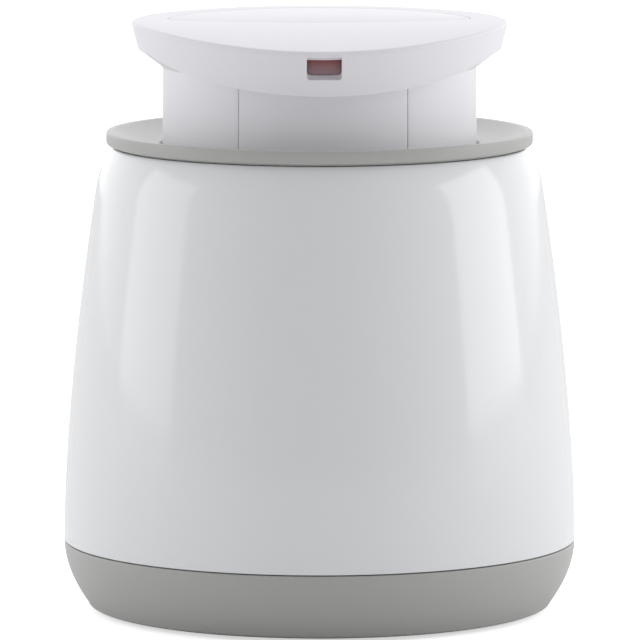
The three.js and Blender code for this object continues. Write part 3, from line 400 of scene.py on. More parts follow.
def noise_node(tree, vector, scale, detail=4.0, roughness=0.55):
    """A Noise Texture on object coordinates."""
    node = tree.nodes.new("ShaderNodeTexNoise")
    node.inputs["Detail"].default_value = detail
    node.inputs["Roughness"].default_value = roughness
    if isinstance(scale, (int, float)):
        node.inputs["Scale"].default_value = scale
    else:
        tree.links.new(scale, node.inputs["Scale"])
    tree.links.new(vector, node.inputs["Vector"])
    return node.outputs["Fac"]


def moulded_grain_group():
    """Fine grain of a spark-eroded mould, as a height."""
    name = "moulded_grain"
    if name in bpy.data.node_groups:
        return bpy.data.node_groups[name]
    group, given, result = new_group(
        name,
        [("Scale", "NodeSocketFloat", 2500.0), ("Ripple", "NodeSocketFloat", 0.3)],
        [("Height", "NodeSocketFloat")],
    )
    place = group.nodes.new("ShaderNodeTexCoord").outputs["Object"]
    fine = noise_node(group, place, given.outputs["Scale"], 3.0, 0.6)
    ripple = noise_node(group, place, RIPPLE_SCALE, 2.0, 0.4)
    share = math_node(group, "MULTIPLY", ripple, given.outputs["Ripple"])
    group.links.new(math_node(group, "ADD", fine, share), result.inputs["Height"])
    return group


def handled_group():
    """Soft drift of tone and gloss that handling and dust leave on a plastic surface."""
    name = "handled_surface"
    if name in bpy.data.node_groups:
        return bpy.data.node_groups[name]
    group, given, result = new_group(
        name,
        [
            ("Color", "NodeSocketColor", (0.8, 0.8, 0.8, 1)),
            ("Shade", "NodeSocketColor", (0.7, 0.7, 0.68, 1)),
            ("Roughness", "NodeSocketFloat", 0.4),
            ("Smear", "NodeSocketFloat", 0.08),
            ("Drift", "NodeSocketFloat", 0.3),
        ],
        [("Color", "NodeSocketColor"), ("Roughness", "NodeSocketFloat")],
    )
    place = group.nodes.new("ShaderNodeTexCoord").outputs["Object"]
    broad = noise_node(group, place, TONE_SCALE, 3.0)
    specks = noise_node(group, place, DUST_SCALE, 2.0)
    dust = group.nodes.new("ShaderNodeMapRange")
    dust.inputs["From Min"].default_value = DUST_START
    dust.inputs["From Max"].default_value = DUST_END
    group.links.new(specks, dust.inputs["Value"])
    drift = math_node(group, "MULTIPLY", broad, given.outputs["Drift"])
    specked = math_node(group, "MULTIPLY", dust.outputs[0], DUST_SHARE)
    amount = math_node(group, "ADD", drift, specked)
    mix = group.nodes.new("ShaderNodeMix")
    mix.data_type = "RGBA"
    group.links.new(amount, mix.inputs["Factor"])
    group.links.new(given.outputs["Color"], mix.inputs["A"])
    group.links.new(given.outputs["Shade"], mix.inputs["B"])
    group.links.new(mix.outputs["Result"], result.inputs["Color"])
    smears = math_node(group, "SUBTRACT", noise_node(group, place, SMEAR_SCALE, 5.0), 0.5)
    wiped = math_node(group, "MULTIPLY", smears, given.outputs["Smear"])
    group.links.new(math_node(group, "ADD", given.outputs["Roughness"], wiped), result.inputs["Roughness"])
    return group


Grain = namedtuple("Grain", "scale depth ripple")
POLISHED = Grain(700.0, 0.004, 1.2)
MOULDED = Grain(2500.0, 0.02, 0.3)
SPARKED = Grain(2300.0, 0.04, 0.3)
TOOLED = Grain(1800.0, 0.01, 0.2)
GRAIN_STRENGTH = 0.5
PLASTIC_IOR = 1.49
COAT_ROUGHNESS = 0.06


def darker(colour, share):
    """The same tone, a share darker."""
    return tuple(c * (1 - share) for c in colour)


def place_group(tree, group, **values):
    """A group node with its inputs set."""
    node = tree.nodes.new("ShaderNodeGroup")
    node.node_tree = group
    for label, value in values.items():
        node.inputs[label].default_value = value
    return node


def plastic(name, colour, shade, roughness, grain=MOULDED, smear=0.08, drift=0.25, coat=0.0):
    """A moulded plastic with fine grain, soft tone drift and uneven gloss."""
    own_name = f"{name}_finish"
    if own_name in bpy.data.materials:
        return bpy.data.materials[own_name]
    material = bpy.data.materials.new(own_name)
    material.use_nodes = True
    tree = material.node_tree
    shader = tree.nodes["Principled BSDF"]
    surface = place_group(
        tree, handled_group(), Color=(*colour, 1), Shade=(*shade, 1), Roughness=roughness,
        Smear=smear, Drift=drift,
    )
    tree.links.new(surface.outputs["Color"], shader.inputs["Base Color"])
    tree.links.new(surface.outputs["Roughness"], shader.inputs["Roughness"])
    texture = place_group(tree, moulded_grain_group(), Scale=grain.scale, Ripple=grain.ripple)
    bump = tree.nodes.new("ShaderNodeBump")
    bump.inputs["Strength"].default_value = GRAIN_STRENGTH
    bump.inputs["Distance"].default_value = grain.depth * MM
    tree.links.new(texture.outputs["Height"], bump.inputs["Height"])
    tree.links.new(bump.outputs["Normal"], shader.inputs["Normal"])
    shader.inputs["IOR"].default_value = PLASTIC_IOR
    shader.inputs["Coat Weight"].default_value = coat
    shader.inputs["Coat Roughness"].default_value = COAT_ROUGHNESS
    return material


def metal(name, colour, roughness, grain=TOOLED):
    """A plated, turned or drawn metal with fine tool marks."""
    material = plastic(name, colour, darker(colour, 0.18), roughness, grain, 0.15, 0.4)
    material.node_tree.nodes["Principled BSDF"].inputs["Metallic"].default_value = 1.0
    return material


def gloss_white():
    colour = tuple(colours().gloss_white)
    return plastic("gloss_white", colour, darker(colour, 0.05), 0.15, POLISHED, 0.05, 0.3, 0.35)


def satin_white():
    colour = tuple(colours().satin_white)
    return plastic("satin_white", colour, darker(colour, 0.05), 0.5, MOULDED, 0.08, 0.3)


def soft_grey():
    colour = tuple(colours().soft_grey)
    return plastic("soft_grey", colour, darker(colour, 0.1), 0.36, SPARKED, 0.1, 0.35)


def bright_steel():
    return metal("bright_steel", (0.62, 0.63, 0.65), 0.3)


# ------------------------------------------------------------------ body shell
def body_radius(z):
    """The bell's outer radius at a height."""
    rise = max(0.0, (z - BODY_WIDEST) / (BODY_TOP - BODY_WIDEST))
    shoulder = max(0.0, (z - BODY_TOP + SHOULDER_HEIGHT) / SHOULDER_HEIGHT)
    return BODY_RADIUS - BODY_TAPER * rise ** TAPER_POWER - SHOULDER_DROP * shoulder ** 2


def base_radius(z):
    """The base cover's outer radius at a height."""
    return BODY_RADIUS - BASE_TUCK * max(0.0, 1 - z / SEAM) ** TUCK_POWER


TOP_RADIUS = BODY_RADIUS - BODY_TAPER - SHOULDER_DROP
RIM_WIDTH = 2.0
RIM_ROUND = 0.3
LEDGE_DEPTH = 2.2
LEDGE_REACH = 3.5
SIDE_END = 1.2
SHELL_MARGIN = 1.0


def build_body_shell():
    edge = sizes().edge_round
    low = SEAM + SEAM_GAP
    ledge = BODY_TOP - LEDGE_DEPTH
    ledge_low = ledge - WALL
    opening = NECK_RADIUS + LEDGE_REACH
    side = [(body_radius(z), z, 0) for z in steps(low + edge, BODY_TOP - SIDE_END, 40)]
    inner = [
        (body_radius(z) - WALL, z, 0) for z in steps(ledge_low - SHELL_MARGIN, low + SHELL_MARGIN, 12)
    ]
    bm = turned([
        (body_radius(low) - WALL, low, 0),
        (body_radius(low), low, edge * 0.6),
        *side[1:],
        (TOP_RADIUS, BODY_TOP, edge),
        (TOP_RADIUS - RIM_WIDTH, BODY_TOP, RIM_ROUND),
        (TOP_RADIUS - RIM_WIDTH, ledge, 0),
        (opening, ledge, 0),
        (opening, ledge_low, 0),
        (inner[0][0] - SHELL_MARGIN, ledge_low, 0),
        *inner,
    ])
    finish_piece("body_shell_moulded", bm, gloss_white(), "root", ["body_shell"])


# ------------------------------------------------------------------ base cover and underside
SCREWS = [node for node in frame["nodes"] if node.startswith("body_screw_")]
FEET = [node for node in frame["nodes"] if node.startswith("foot_")]
LIP_GAP = 0.6
LIP_HEIGHT = 3.0
LIP_THICKNESS = 1.6
LIP_ROOT = 2.0
FLOOR_EDGE = 3.0
FOOT_SEAT_GAP = 0.25
FOOT_SEAT_DEPTH = 0.8
SCREW_WELL_RADIUS = 2.9
SCREW_WELL_DEPTH = 2.0
DOOR_GAP = 0.25
DOOR_CLEARANCE = 0.3
TAB_HALF_WIDTH = 5.7
BAY_WALL = 1.4
POST_RADIUS = 3.2
POST_OVERLAP = 0.4


def middle(node):
    """A node's middle in millimetres."""
    low, high = span(node)
    return (low + high) / 2


def door_outline(extra):
    """The battery door's outline with its catch tab, grown by a gap."""
    half_x = DOOR_HIGH.x + extra
    low_y = DOOR_LOW.y - extra
    tab = TAB_HALF_WIDTH + extra
    body_y = -DOOR_LOW.y + extra
    tab_y = DOOR_HIGH.y + extra
    return [
        (-half_x, low_y), (half_x, low_y), (half_x, body_y), (tab, body_y),
        (tab, tab_y), (-tab, tab_y), (-tab, body_y), (-half_x, body_y),
    ]


def base_profile():
    """The base cover's section from the underside's flat, up its side and down inside its lip."""
    edge = sizes().edge_round
    foot = base_radius(TURN_UP)
    turn = [
        (
            FLAT_RADIUS + (foot - FLAT_RADIUS) * math.sin(t),
            BASE_BOTTOM + (TURN_UP - BASE_BOTTOM) * (1 - math.cos(t)),
        )
        for t in steps(0, math.pi / 2, 8)
    ]
    side = [(base_radius(z), z) for z in steps(TURN_UP, SEAM - edge, 26)][1:]
    lip = body_radius(SEAM) - WALL - LIP_GAP
    floor_top = BASE_BOTTOM + FLOOR_THICKNESS
    return [
        *turn,
        *side,
        *corner_arc((BODY_RADIUS, SEAM - LIP_HEIGHT), (BODY_RADIUS, SEAM), (lip, SEAM), edge * 0.6),
        (lip, SEAM),
        (lip, SEAM + LIP_HEIGHT),
        (lip - LIP_THICKNESS, SEAM + LIP_HEIGHT),
        (lip - LIP_THICKNESS, SEAM - LIP_ROOT),
        (base_radius(floor_top) - FLOOR_EDGE, floor_top),
    ]


def blind_hole(bm, node, radius, depth, facets):
    """A round hole in the underside below a node, closed at its top."""
    rim = circle_edges(bm, middle(node), radius, BASE_BOTTOM, facets)
    fill(bm, raise_edges(bm, rim, depth))
    return rim


def build_base_cover():
    floor_top = BASE_BOTTOM + FLOOR_THICKNESS
    floor_middle = (BASE_BOTTOM + floor_top) / 2
    ledge_z = DOOR_HIGH.z + DOOR_CLEARANCE
    bm = bmesh.new()
    spin_edges(bm, base_profile(), closed=False)
    bmesh.ops.remove_doubles(bm, verts=bm.verts, dist=SAME_POINT)
    rims = [item for item in bm.edges if item.is_boundary]
    under = [item for item in rims if item.verts[0].co.z < floor_middle]
    inside = [item for item in rims if item.verts[0].co.z >= floor_middle]

    holes = []
    for node in FEET:
        seat = span(node)[1].x - middle(node).x + FOOT_SEAT_GAP
        holes.append(blind_hole(bm, node, seat, FOOT_SEAT_DEPTH, 48))
    for node in SCREWS:
        holes.append(blind_hole(bm, node, SCREW_WELL_RADIUS, SCREW_WELL_DEPTH, 32))

    recess = loop_edges(bm, door_outline(DOOR_GAP), BASE_BOTTOM)
    ledge = raise_edges(bm, recess, ledge_z - BASE_BOTTOM)
    half_x = BOX_HIGH.x - BAY_WALL
    half_y = BOX_HIGH.y - BAY_WALL
    bay = [(-half_x, -half_y), (half_x, -half_y), (half_x, half_y), (-half_x, half_y)]
    opening = loop_edges(bm, bay, ledge_z)
    fill(bm, ledge, opening)
    opening_top = raise_edges(bm, opening, floor_top - ledge_z)
    fill(bm, under, recess, *holes)
    fill(bm, inside, opening_top)
    for node in SCREWS:
        x, y, _ = middle(node)
        post = bmesh.ops.create_cone(
            bm, cap_ends=True, radius1=POST_RADIUS, radius2=POST_RADIUS, segments=32,
            depth=BASE_HIGH.z - floor_top + POST_OVERLAP,
        )["verts"]
        bmesh.ops.translate(bm, verts=post, vec=(x, y, (BASE_HIGH.z + floor_top - POST_OVERLAP) / 2))
    finish_piece("base_cover_moulded", bm, soft_grey(), "root", ["base_cover"])


FOOT_DIMPLE = 0.25


def build_feet():
    rubber = plastic(
        "foot_rubber", (0.09, 0.09, 0.095), (0.13, 0.13, 0.13), 0.8, Grain(1500.0, 0.05, 0.3), 0.1, 0.5
    )
    for node in FEET:
        low, high = span(node)
        x, y, _ = middle(node)
        radius = (high.x - low.x) / 2
        bm = turned([
            (0, low.z + FOOT_DIMPLE, 0),
            (radius * 0.45, low.z + FOOT_DIMPLE, 0.1),
            (radius * 0.5, low.z, 0.1),
            (radius, low.z, 0.35),
            (radius, high.z, 0.1),
            (0, high.z, 0),
        ], closed=False, facets=48)
        bmesh.ops.translate(bm, verts=bm.verts, vec=(x, y, 0))
        finish_piece(f"{node}_pad", bm, rubber, "root", [node])


GRIP_COUNT = 5
GRIP_FIRST = 3.5
GRIP_PITCH = 1.8
GRIP_HALF_LENGTH = 9.0
GRIP_SHORTER = 0.9
GRIP_HALF_WIDTH = 0.35
GRIP_HEIGHT = 0.3


def build_battery_door():
    bm = bmesh.new()
    low, high = DOOR_LOW, DOOR_HIGH
    outline = loop_edges(bm, door_outline(0), low.z)
    fill(bm, outline)
    fill(bm, raise_edges(bm, outline, high.z - low.z))
    for i in range(GRIP_COUNT):
        y = -low.y - GRIP_FIRST - GRIP_PITCH * i
        half = GRIP_HALF_LENGTH - GRIP_SHORTER * i
        rounded_box(
            bm,
            (-half, y - GRIP_HALF_WIDTH, low.z - GRIP_HEIGHT),
            (half, y + GRIP_HALF_WIDTH, low.z + GRIP_HEIGHT),
            0.2,
        )
    finish_piece("battery_door_moulded", bm, soft_grey(), "door", ["battery_door"])


SCREW_HEAD_HEIGHT = 1.6
SCREW_FLAT_RADIUS = 1.9
SHANK_RADIUS = 1.25
POINT_RADIUS = 0.3
POINT_LENGTH = 1.0
CROSS_REACH = 1.3
CROSS_HALF_WIDTH = 0.28
CROSS_DEPTH = 0.9


def cross_outline(reach, half):
    """Outline of a cross recess."""
    return [
        (reach, -half), (reach, half), (half, half), (half, reach), (-half, reach), (-half, half),
        (-reach, half), (-reach, -half), (-half, -half), (-half, -reach), (half, -reach), (half, -half),
    ]


def build_screws():
    steel = bright_steel()
    for node in SCREWS:
        low, high = span(node)
        x, y, _ = middle(node)
        radius = (high.x - low.x) / 2
        head_top = low.z + SCREW_HEAD_HEIGHT
        bm = turned([
            (SCREW_FLAT_RADIUS, low.z, 0),
            (radius, low.z + 0.25, 0.5),
            (radius, head_top, 0.1),
            (SHANK_RADIUS, head_top, 0),
            (SHANK_RADIUS, high.z - POINT_LENGTH, 0),
            (POINT_RADIUS, high.z, 0),
            (0, high.z, 0),
        ], closed=False, facets=32)
        rim = [edge for edge in bm.edges if edge.is_boundary]
        cross = loop_edges(bm, cross_outline(CROSS_REACH, CROSS_HALF_WIDTH), low.z)
        fill(bm, rim, cross)
        fill(bm, raise_edges(bm, cross, CROSS_DEPTH))
        bmesh.ops.translate(bm, verts=bm.verts, vec=(x, y, 0))
        finish_piece(f"{node}_turned", bm, steel, "root", [node])


# ------------------------------------------------------------------ selector ring
BORE_GAP = 0.55
SLEEVE_WALL = 2.1
SEAT_GAP = 0.6
DISH_RIM = 1.9
BORE_ROUND = 0.3
BORE_DROP = 0.4


def build_selector_ring():
    bottom = RING_TOP - RING_BAND
    under = BODY_TOP + RING_CLEARANCE
    bore = NECK_RADIUS + BORE_GAP
    sleeve = bore + SLEEVE_WALL
    spigot = TOP_RADIUS - RIM_WIDTH - SEAT_GAP
    seat = BODY_TOP - LEDGE_DEPTH + SEAT_GAP
    dish_start = RING_RADIUS - DISH_RIM
    dish_width = bore + BORE_ROUND - dish_start
    dish = [
        (dish_start + dish_width * t, RING_TOP - 0.05 - RING_DISH * math.sin(t * math.pi / 2), 0)
        for t in steps(0.06, 1, 16)
    ]
    bm = turned([
        (spigot, under, 0),
        (TOP_RADIUS - 0.5, under, 0.1),
        (TOP_RADIUS - 0.3, bottom, 0),
        (RING_RADIUS, bottom, 0.7),
        (RING_RADIUS, RING_TOP, 0.5),
        (dish_start, RING_TOP - 0.02, 0.6),
        *dish,
        (bore, RING_TOP - RING_DISH - BORE_DROP, 0),
        (bore, RING_LOW.z, 0),
        (sleeve, RING_LOW.z, 0),
        (sleeve, seat, 0),
        (spigot, seat, 0),
    ])
    finish_piece("selector_ring_moulded", bm, soft_grey(), "selector", ["selector_ring"])


# ------------------------------------------------------------------ neck
PANEL_HALF_ANGLE = math.radians(32)
NECK_SEAM = math.radians(0.16)
NECK_WALL = 1.8
NECK_TUCK = 0.9
NECK_SEAM_ROUND = 0.12


def seam_edges(bm):
    """The neck's outer upright edges at the two seams."""
    picked = []
    for edge in bm.edges:
        first, second = (vert.co for vert in edge.verts)
        upright = abs(first.z - second.z) > 1
        outside = math.hypot(first.x, first.y) > NECK_RADIUS - 0.1
        if upright and outside and edge.calc_face_angle(0) > 1:
            picked.append(edge)
    return picked


def build_neck():
    low = NECK_LOW.z
    top = HEAD_UNDER + NECK_TUCK
    inner = NECK_RADIUS - NECK_WALL
    profile = [(inner, low), (NECK_RADIUS, low), (NECK_RADIUS, top), (inner, top)]
    pieces = [
        ("neck_front_panel_moulded", "neck_front_panel", -PANEL_HALF_ANGLE, PANEL_HALF_ANGLE, 48),
        (
            "neck_rear_shell_moulded", "neck_rear_shell",
            PANEL_HALF_ANGLE, 2 * math.pi - PANEL_HALF_ANGLE, 160,
        ),
    ]
    for name, node, start, end, facets in pieces:
        bm = bmesh.new()
        side = start + NECK_SEAM
        verts = [bm.verts.new((r * math.sin(side), -r * math.cos(side), z)) for r, z in profile]
        section = bm.faces.new(verts)
        bmesh.ops.spin(
            bm, geom=[section, *section.edges, *section.verts],
            cent=(0, 0, 0), axis=(0, 0, 1), dvec=(0, 0, 0),
            angle=end - start - 2 * NECK_SEAM, steps=facets, use_merge=False,
        )
        bmesh.ops.recalc_face_normals(bm, faces=bm.faces)
        bevel_edges(bm, seam_edges(bm), NECK_SEAM_ROUND)
        finish_piece(name, bm, satin_white(), "head", [node])


# ------------------------------------------------------------------ head
def wall_radius(z):
    """The head's outer wall radius at a height."""
    return HEAD_RADIUS - HEAD_DRAFT * (HEAD_TOP - z)


def top_drop(y):
    """How far the head's top face lies below its flat rear part."""
    ahead = max(0.0, -TOP_BEND - y)
    return TOP_BEND_RADIUS - math.sqrt(TOP_BEND_RADIUS ** 2 - ahead ** 2)


def lower_edge(y):
    """Height of the head's lower edge, which slopes down towards the front."""
    sloped = WALL_LOW + UNDER_SLOPE * (y + UNDER_BEND)
    return soft_min(WALL_LOW, sloped, UNDER_SOFTNESS)


def bend_head(bm):
    """Gives a turned head blank its curved top face, sloping front and drafted wall."""
    for vert in bm.verts:
        x, y, z = vert.co
        radius = math.hypot(x, y)
        if z >= WALL_LOW:
            share = min(1.0, (z - WALL_LOW) / (BOWL_RIM - WALL_LOW))
            new_z = z - top_drop(y) * share - (WALL_LOW - lower_edge(y)) * (1 - share)
            new_radius = radius + wall_radius(new_z) - wall_radius(z)
        else:
            new_z = soft_min(z, lower_edge(y), UNDER_SOFTNESS * 0.5)
            share = max(0.0, (radius - NECK_RADIUS) / SKIRT_BLEND)
            new_radius = radius + (wall_radius(new_z) - wall_radius(z)) * share
        if radius > NECK_RADIUS + 0.2:
            vert.co.x = x * new_radius / radius
            vert.co.y = y * new_radius / radius
        vert.co.z = new_z


def aperture_outline(rise, corner):
    """The aperture's outline in X and Z, with its lower edge raised and its lower corners rounded."""
    half = APERTURE_WIDTH / 2
    top = APERTURE_BOTTOM + APERTURE_HEIGHT
    return rounded([
        (-half, APERTURE_BOTTOM + rise, corner),
        (half, APERTURE_BOTTOM + rise, corner),
        (half, top, APERTURE_TOP_CORNER),
        (-half, top, APERTURE_TOP_CORNER),
    ])


def aperture_cutter():
    """A tunnel whose floor slopes up through the head's front wall."""
    front = -wall_radius(APERTURE_BOTTOM)
    stations = [
        (front - 5, 0.0, APERTURE_CORNER),
        (front + 0.5, 0.0, APERTURE_CORNER),
        (front + 2.3, SILL_RISE, SILL_CORNER),
        (front + 5, SILL_RISE, SILL_CORNER),
    ]
    bm = bmesh.new()
    loops = []
    for y, rise, corner in stations:
        verts = [bm.verts.new((x, y, z)) for x, z in aperture_outline(rise, corner)]
        loops.append([bm.edges.new((a, b)) for a, b in zip(verts, verts[1:] + verts[:1])])
    for first, second in zip(loops, loops[1:]):
        bmesh.ops.bridge_loops(bm, edges=first + second)
    bmesh.ops.contextual_create(bm, geom=loops[0])
    bmesh.ops.contextual_create(bm, geom=loops[-1])
    bmesh.ops.recalc_face_normals(bm, faces=bm.faces)
    return bm


def temporary_object(bm):
    """A bmesh as an object that a cut uses up."""
    mesh = bpy.data.meshes.new("cut")
    bm.to_mesh(mesh)
    bm.free()
    made = bpy.data.objects.new("cut", mesh)
    bpy.context.scene.collection.objects.link(made)
    return made


def cut_away(bm, cutter):
    """Cuts one closed bmesh out of another and returns what is left."""
    bmesh.ops.remove_doubles(bm, verts=bm.verts, dist=1e-5)
    bmesh.ops.recalc_face_normals(bm, faces=bm.faces)
    block = temporary_object(bm)
    tool = temporary_object(cutter)
    cut = block.modifiers.new("cut", "BOOLEAN")
    cut.operation = "DIFFERENCE"
    cut.solver = "EXACT"
    cut.object = tool
    shape = bpy.data.meshes.new_from_object(block.evaluated_get(bpy.context.evaluated_depsgraph_get()))
    left = bmesh.new()
    left.from_mesh(shape)
    for used in (block, tool):
        mesh = used.data
        bpy.data.objects.remove(used)
        bpy.data.meshes.remove(mesh)
    bpy.data.meshes.remove(shape)
    return left


def soften_edges(bm, wanted, radius, segments=3):
    """Rounds the edges between two faces that a test picks."""
    edges = [edge for edge in bm.edges if len(edge.link_faces) == 2 and wanted(edge)]
    bevel_edges(bm, edges, radius, segments)


def build_head_bowl():
    edge = sizes().edge_round
    wall = [(wall_radius(z), z, 0) for z in steps(BOWL_RIM - 0.6, WALL_LOW + 0.9, 7)]
    inside = [(wall_radius(z) - BOWL_WALL, z, 0) for z in steps(WALL_LOW + 1.6, BOWL_RIM - 0.6, 7)]
    neck_side = NECK_RADIUS + NECK_FIT
    wall_foot = wall_radius(WALL_LOW)
    skirt = [
        (wall_foot + (neck_side - wall_foot) * t, WALL_LOW - SKIRT_DEPTH * t, 0) for t in steps(0.3, 1, 5)
    ]
    bm = turned([
        (wall_radius(BOWL_RIM) - BOWL_WALL, BOWL_RIM, 0),
        (wall_radius(BOWL_RIM), BOWL_RIM, 0.04),
        *wall,
        (wall_foot, WALL_LOW, edge),
        *skirt,
        (neck_side, HEAD_UNDER + SKIRT_WALL, 0),
        (wall_foot - INNER_FOOT_INSET, WALL_LOW + INNER_FOOT_RISE, 0),
        *inside,
    ])
    bend_head(bm)
    bm = cut_away(bm, aperture_cutter())

    def round_the_aperture(item):
        a, b = (vert.co for vert in item.verts)
        centre = (a + b) / 2
        if centre.y > 0 or abs(centre.x) > APERTURE_WIDTH / 2 + 0.01 or item.calc_face_angle(0) < 0.9:
            return False
        within = APERTURE_BOTTOM - 0.1 < centre.z < APERTURE_BOTTOM + APERTURE_HEIGHT + 0.05
        return within and abs(math.hypot(centre.x, centre.y) - wall_radius(centre.z)) < 0.3

    soften_edges(bm, round_the_aperture, APERTURE_ROUND, 2)
    finish_piece("head_bowl_moulded", bm, satin_white(), "head", ["head_bowl"])


def panel_outline(shrink):
    """The rear panel's outline: a circle whose front is a flatter arc, with rounded corners."""
    radius = PANEL_RADIUS - shrink
    arc = PANEL_ARC - shrink
    arc_centre = PANEL_ARC - PANEL_FRONT
    corner_y = (radius ** 2 - arc ** 2 + arc_centre ** 2) / (2 * arc_centre)
    corner_x = math.sqrt(radius ** 2 - corner_y ** 2)
    circle_start = math.asin(corner_y / radius) + PANEL_CORNER / radius
    back = [
        (radius * math.cos(t), radius * math.sin(t))
        for t in steps(circle_start, math.pi - circle_start, 96)
    ]
    arc_end = math.asin(corner_x / arc) - PANEL_CORNER / arc
    front = [(arc * math.sin(t), arc_centre - arc * math.cos(t)) for t in steps(-arc_end, arc_end, 56)]

    def turned_corner(first, point, last):
        return [
            tuple((1 - t) ** 2 * a + 2 * t * (1 - t) * b + t ** 2 * c for a, b, c in zip(first, point, last))
            for t in steps(0, 1, 9)[1:-1]
        ]

    left = turned_corner(back[-1], (-corner_x, corner_y), front[0])
    right = turned_corner(front[-1], (corner_x, corner_y), back[0])
    return [*back, *left, *front, *right]


def prism(outline, bottom, top):
    """A closed upright prism."""
    bm = bmesh.new()
    low = loop_edges(bm, outline, bottom)
    fill(bm, low)
    fill(bm, raise_edges(bm, low, top - bottom))
    bmesh.ops.recalc_face_normals(bm, faces=bm.faces)
    return bm


def build_head_cover():
    edge = sizes().head_edge
    underside = HEAD_TOP - COVER_CORE
    core_radius = wall_radius(underside) - WALL - CORE_GAP
    rings = [(radius, HEAD_TOP, 0) for radius in steps(0, HEAD_RADIUS - edge * 2.2, 26)]
    bm = turned([
        *rings,
        (HEAD_RADIUS, HEAD_TOP, edge),
        (wall_radius(HEAD_TOP - RIM_THICKNESS), HEAD_TOP - RIM_THICKNESS, 0),
        (core_radius, HEAD_TOP - RIM_THICKNESS, 0),
        (core_radius, underside, 0),
        (0, underside, 0),
    ], closed=False)
    for vert in bm.verts:
        drop = top_drop(vert.co.y)
        narrower = 1 - HEAD_DRAFT * drop / HEAD_RADIUS
        vert.co = (vert.co.x * narrower, vert.co.y * narrower, vert.co.z - drop)
    bm = cut_away(bm, prism(panel_outline(0), HEAD_TOP - PANEL_DEPTH, HEAD_TOP + 3))

    def round_the_recess(item):
        centre = (item.verts[0].co + item.verts[1].co) / 2
        near_panel = math.hypot(centre.x, centre.y) < PANEL_RADIUS + 0.5
        return centre.z > HEAD_TOP - 0.2 and near_panel and item.calc_face_angle(0) > 1.2

    soften_edges(bm, round_the_recess, RECESS_ROUND, 2)
    low, high = span("mirror")
    wedge = [
        (low.y + 0.3, high.z),
        (low.y + 0.3, underside + 0.4),
        (high.y + WEDGE_BACK, underside + 0.4),
        (high.y + WEDGE_BACK, low.z),
        (high.y, low.z),
    ]
    half = (high.x - low.x) / 2
    ends = []
    for x in (-half, half):
        verts = [bm.verts.new((x, y, z)) for y, z in wedge]
        ends.append([bm.edges.new((a, b)) for a, b in zip(verts, verts[1:] + verts[:1])])
        bm.faces.new(verts)
    bmesh.ops.bridge_loops(bm, edges=ends[0] + ends[1])
    finish_piece("head_cover_moulded", bm, satin_white(), "head", ["head_cover"])


def build_top_panel():
    bm = prism(panel_outline(PANEL_GROOVE), HEAD_TOP - PANEL_DEPTH + 0.05, HEAD_TOP)

    def round_the_rim(item):
        return all(vert.co.z > HEAD_TOP - 0.01 for vert in item.verts) and item.calc_face_angle(0) > 1.2

    soften_edges(bm, round_the_rim, PANEL_ROUND)
    finish_piece("top_panel_moulded", bm, satin_white(), "head", ["top_panel"])


def tinted_window():
    """Smoked plastic that lets some light through, painted paler towards its lower edge: painted light
    standing in for light falling on the sloping sill in front of it.
    """
    colour = tuple(colours().window_tint)
    grain = Grain(400.0, 0.003, 0.6)
    material = plastic("window_tint", colour, darker(colour, 0.3), 0.12, grain, 0.04, 0.4)
    tree = material.node_tree
    shader = tree.nodes["Principled BSDF"]
    shader.inputs["Transmission Weight"].default_value = 0.3
    # Painted light: the tint is mixed towards a pale lilac low down on the window, standing in for light
    # falling on the sloping sill.
    place = tree.nodes.new("ShaderNodeSeparateXYZ")
    tree.links.new(tree.nodes.new("ShaderNodeTexCoord").outputs["Object"], place.inputs[0])
    sill_light_mask = tree.nodes.new("ShaderNodeMapRange")
    sill_light_mask.inputs["From Min"].default_value = (APERTURE_BOTTOM + APERTURE_HEIGHT * PAINTED_LIGHT_TOP) * MM
    sill_light_mask.inputs["From Max"].default_value = APERTURE_BOTTOM * MM
    tree.links.new(place.outputs["Z"], sill_light_mask.inputs["Value"])
    sill_light_mix = tree.nodes.new("ShaderNodeMix")
    sill_light_mix.data_type = "RGBA"
    tree.links.new(sill_light_mask.outputs[0], sill_light_mix.inputs["Factor"])
    tree.links.new(shader.inputs["Base Color"].links[0].from_socket, sill_light_mix.inputs["A"])
    sill_light_mix.inputs["B"].default_value = (*PAINTED_SILL_LIGHT, 1)
    tree.links.new(sill_light_mix.outputs["Result"], shader.inputs["Base Color"])
    return material


def build_beam_window():
    low, high = WINDOW_LOW, WINDOW_HIGH
    front = -(wall_radius(APERTURE_BOTTOM) - BOWL_WALL - WINDOW_BACK)
    margin = 0.5
    bm = bmesh.new()
    rounded_box(
        bm,
        (low.x - margin, front, APERTURE_BOTTOM + SILL_RISE - margin),
        (high.x + margin, front + high.y - low.y, APERTURE_BOTTOM + APERTURE_HEIGHT + margin),
        0.2,
    )
    finish_piece("beam_window_tinted", bm, tinted_window(), "head", ["beam_window"])


# ------------------------------------------------------------------ battery cells
END_INSET = 0.9
SLEEVE_LAP = 0.7
SLEEVE_STEP = 0.15
CAP_INSET = 1.2
CAP_DROP = 0.2


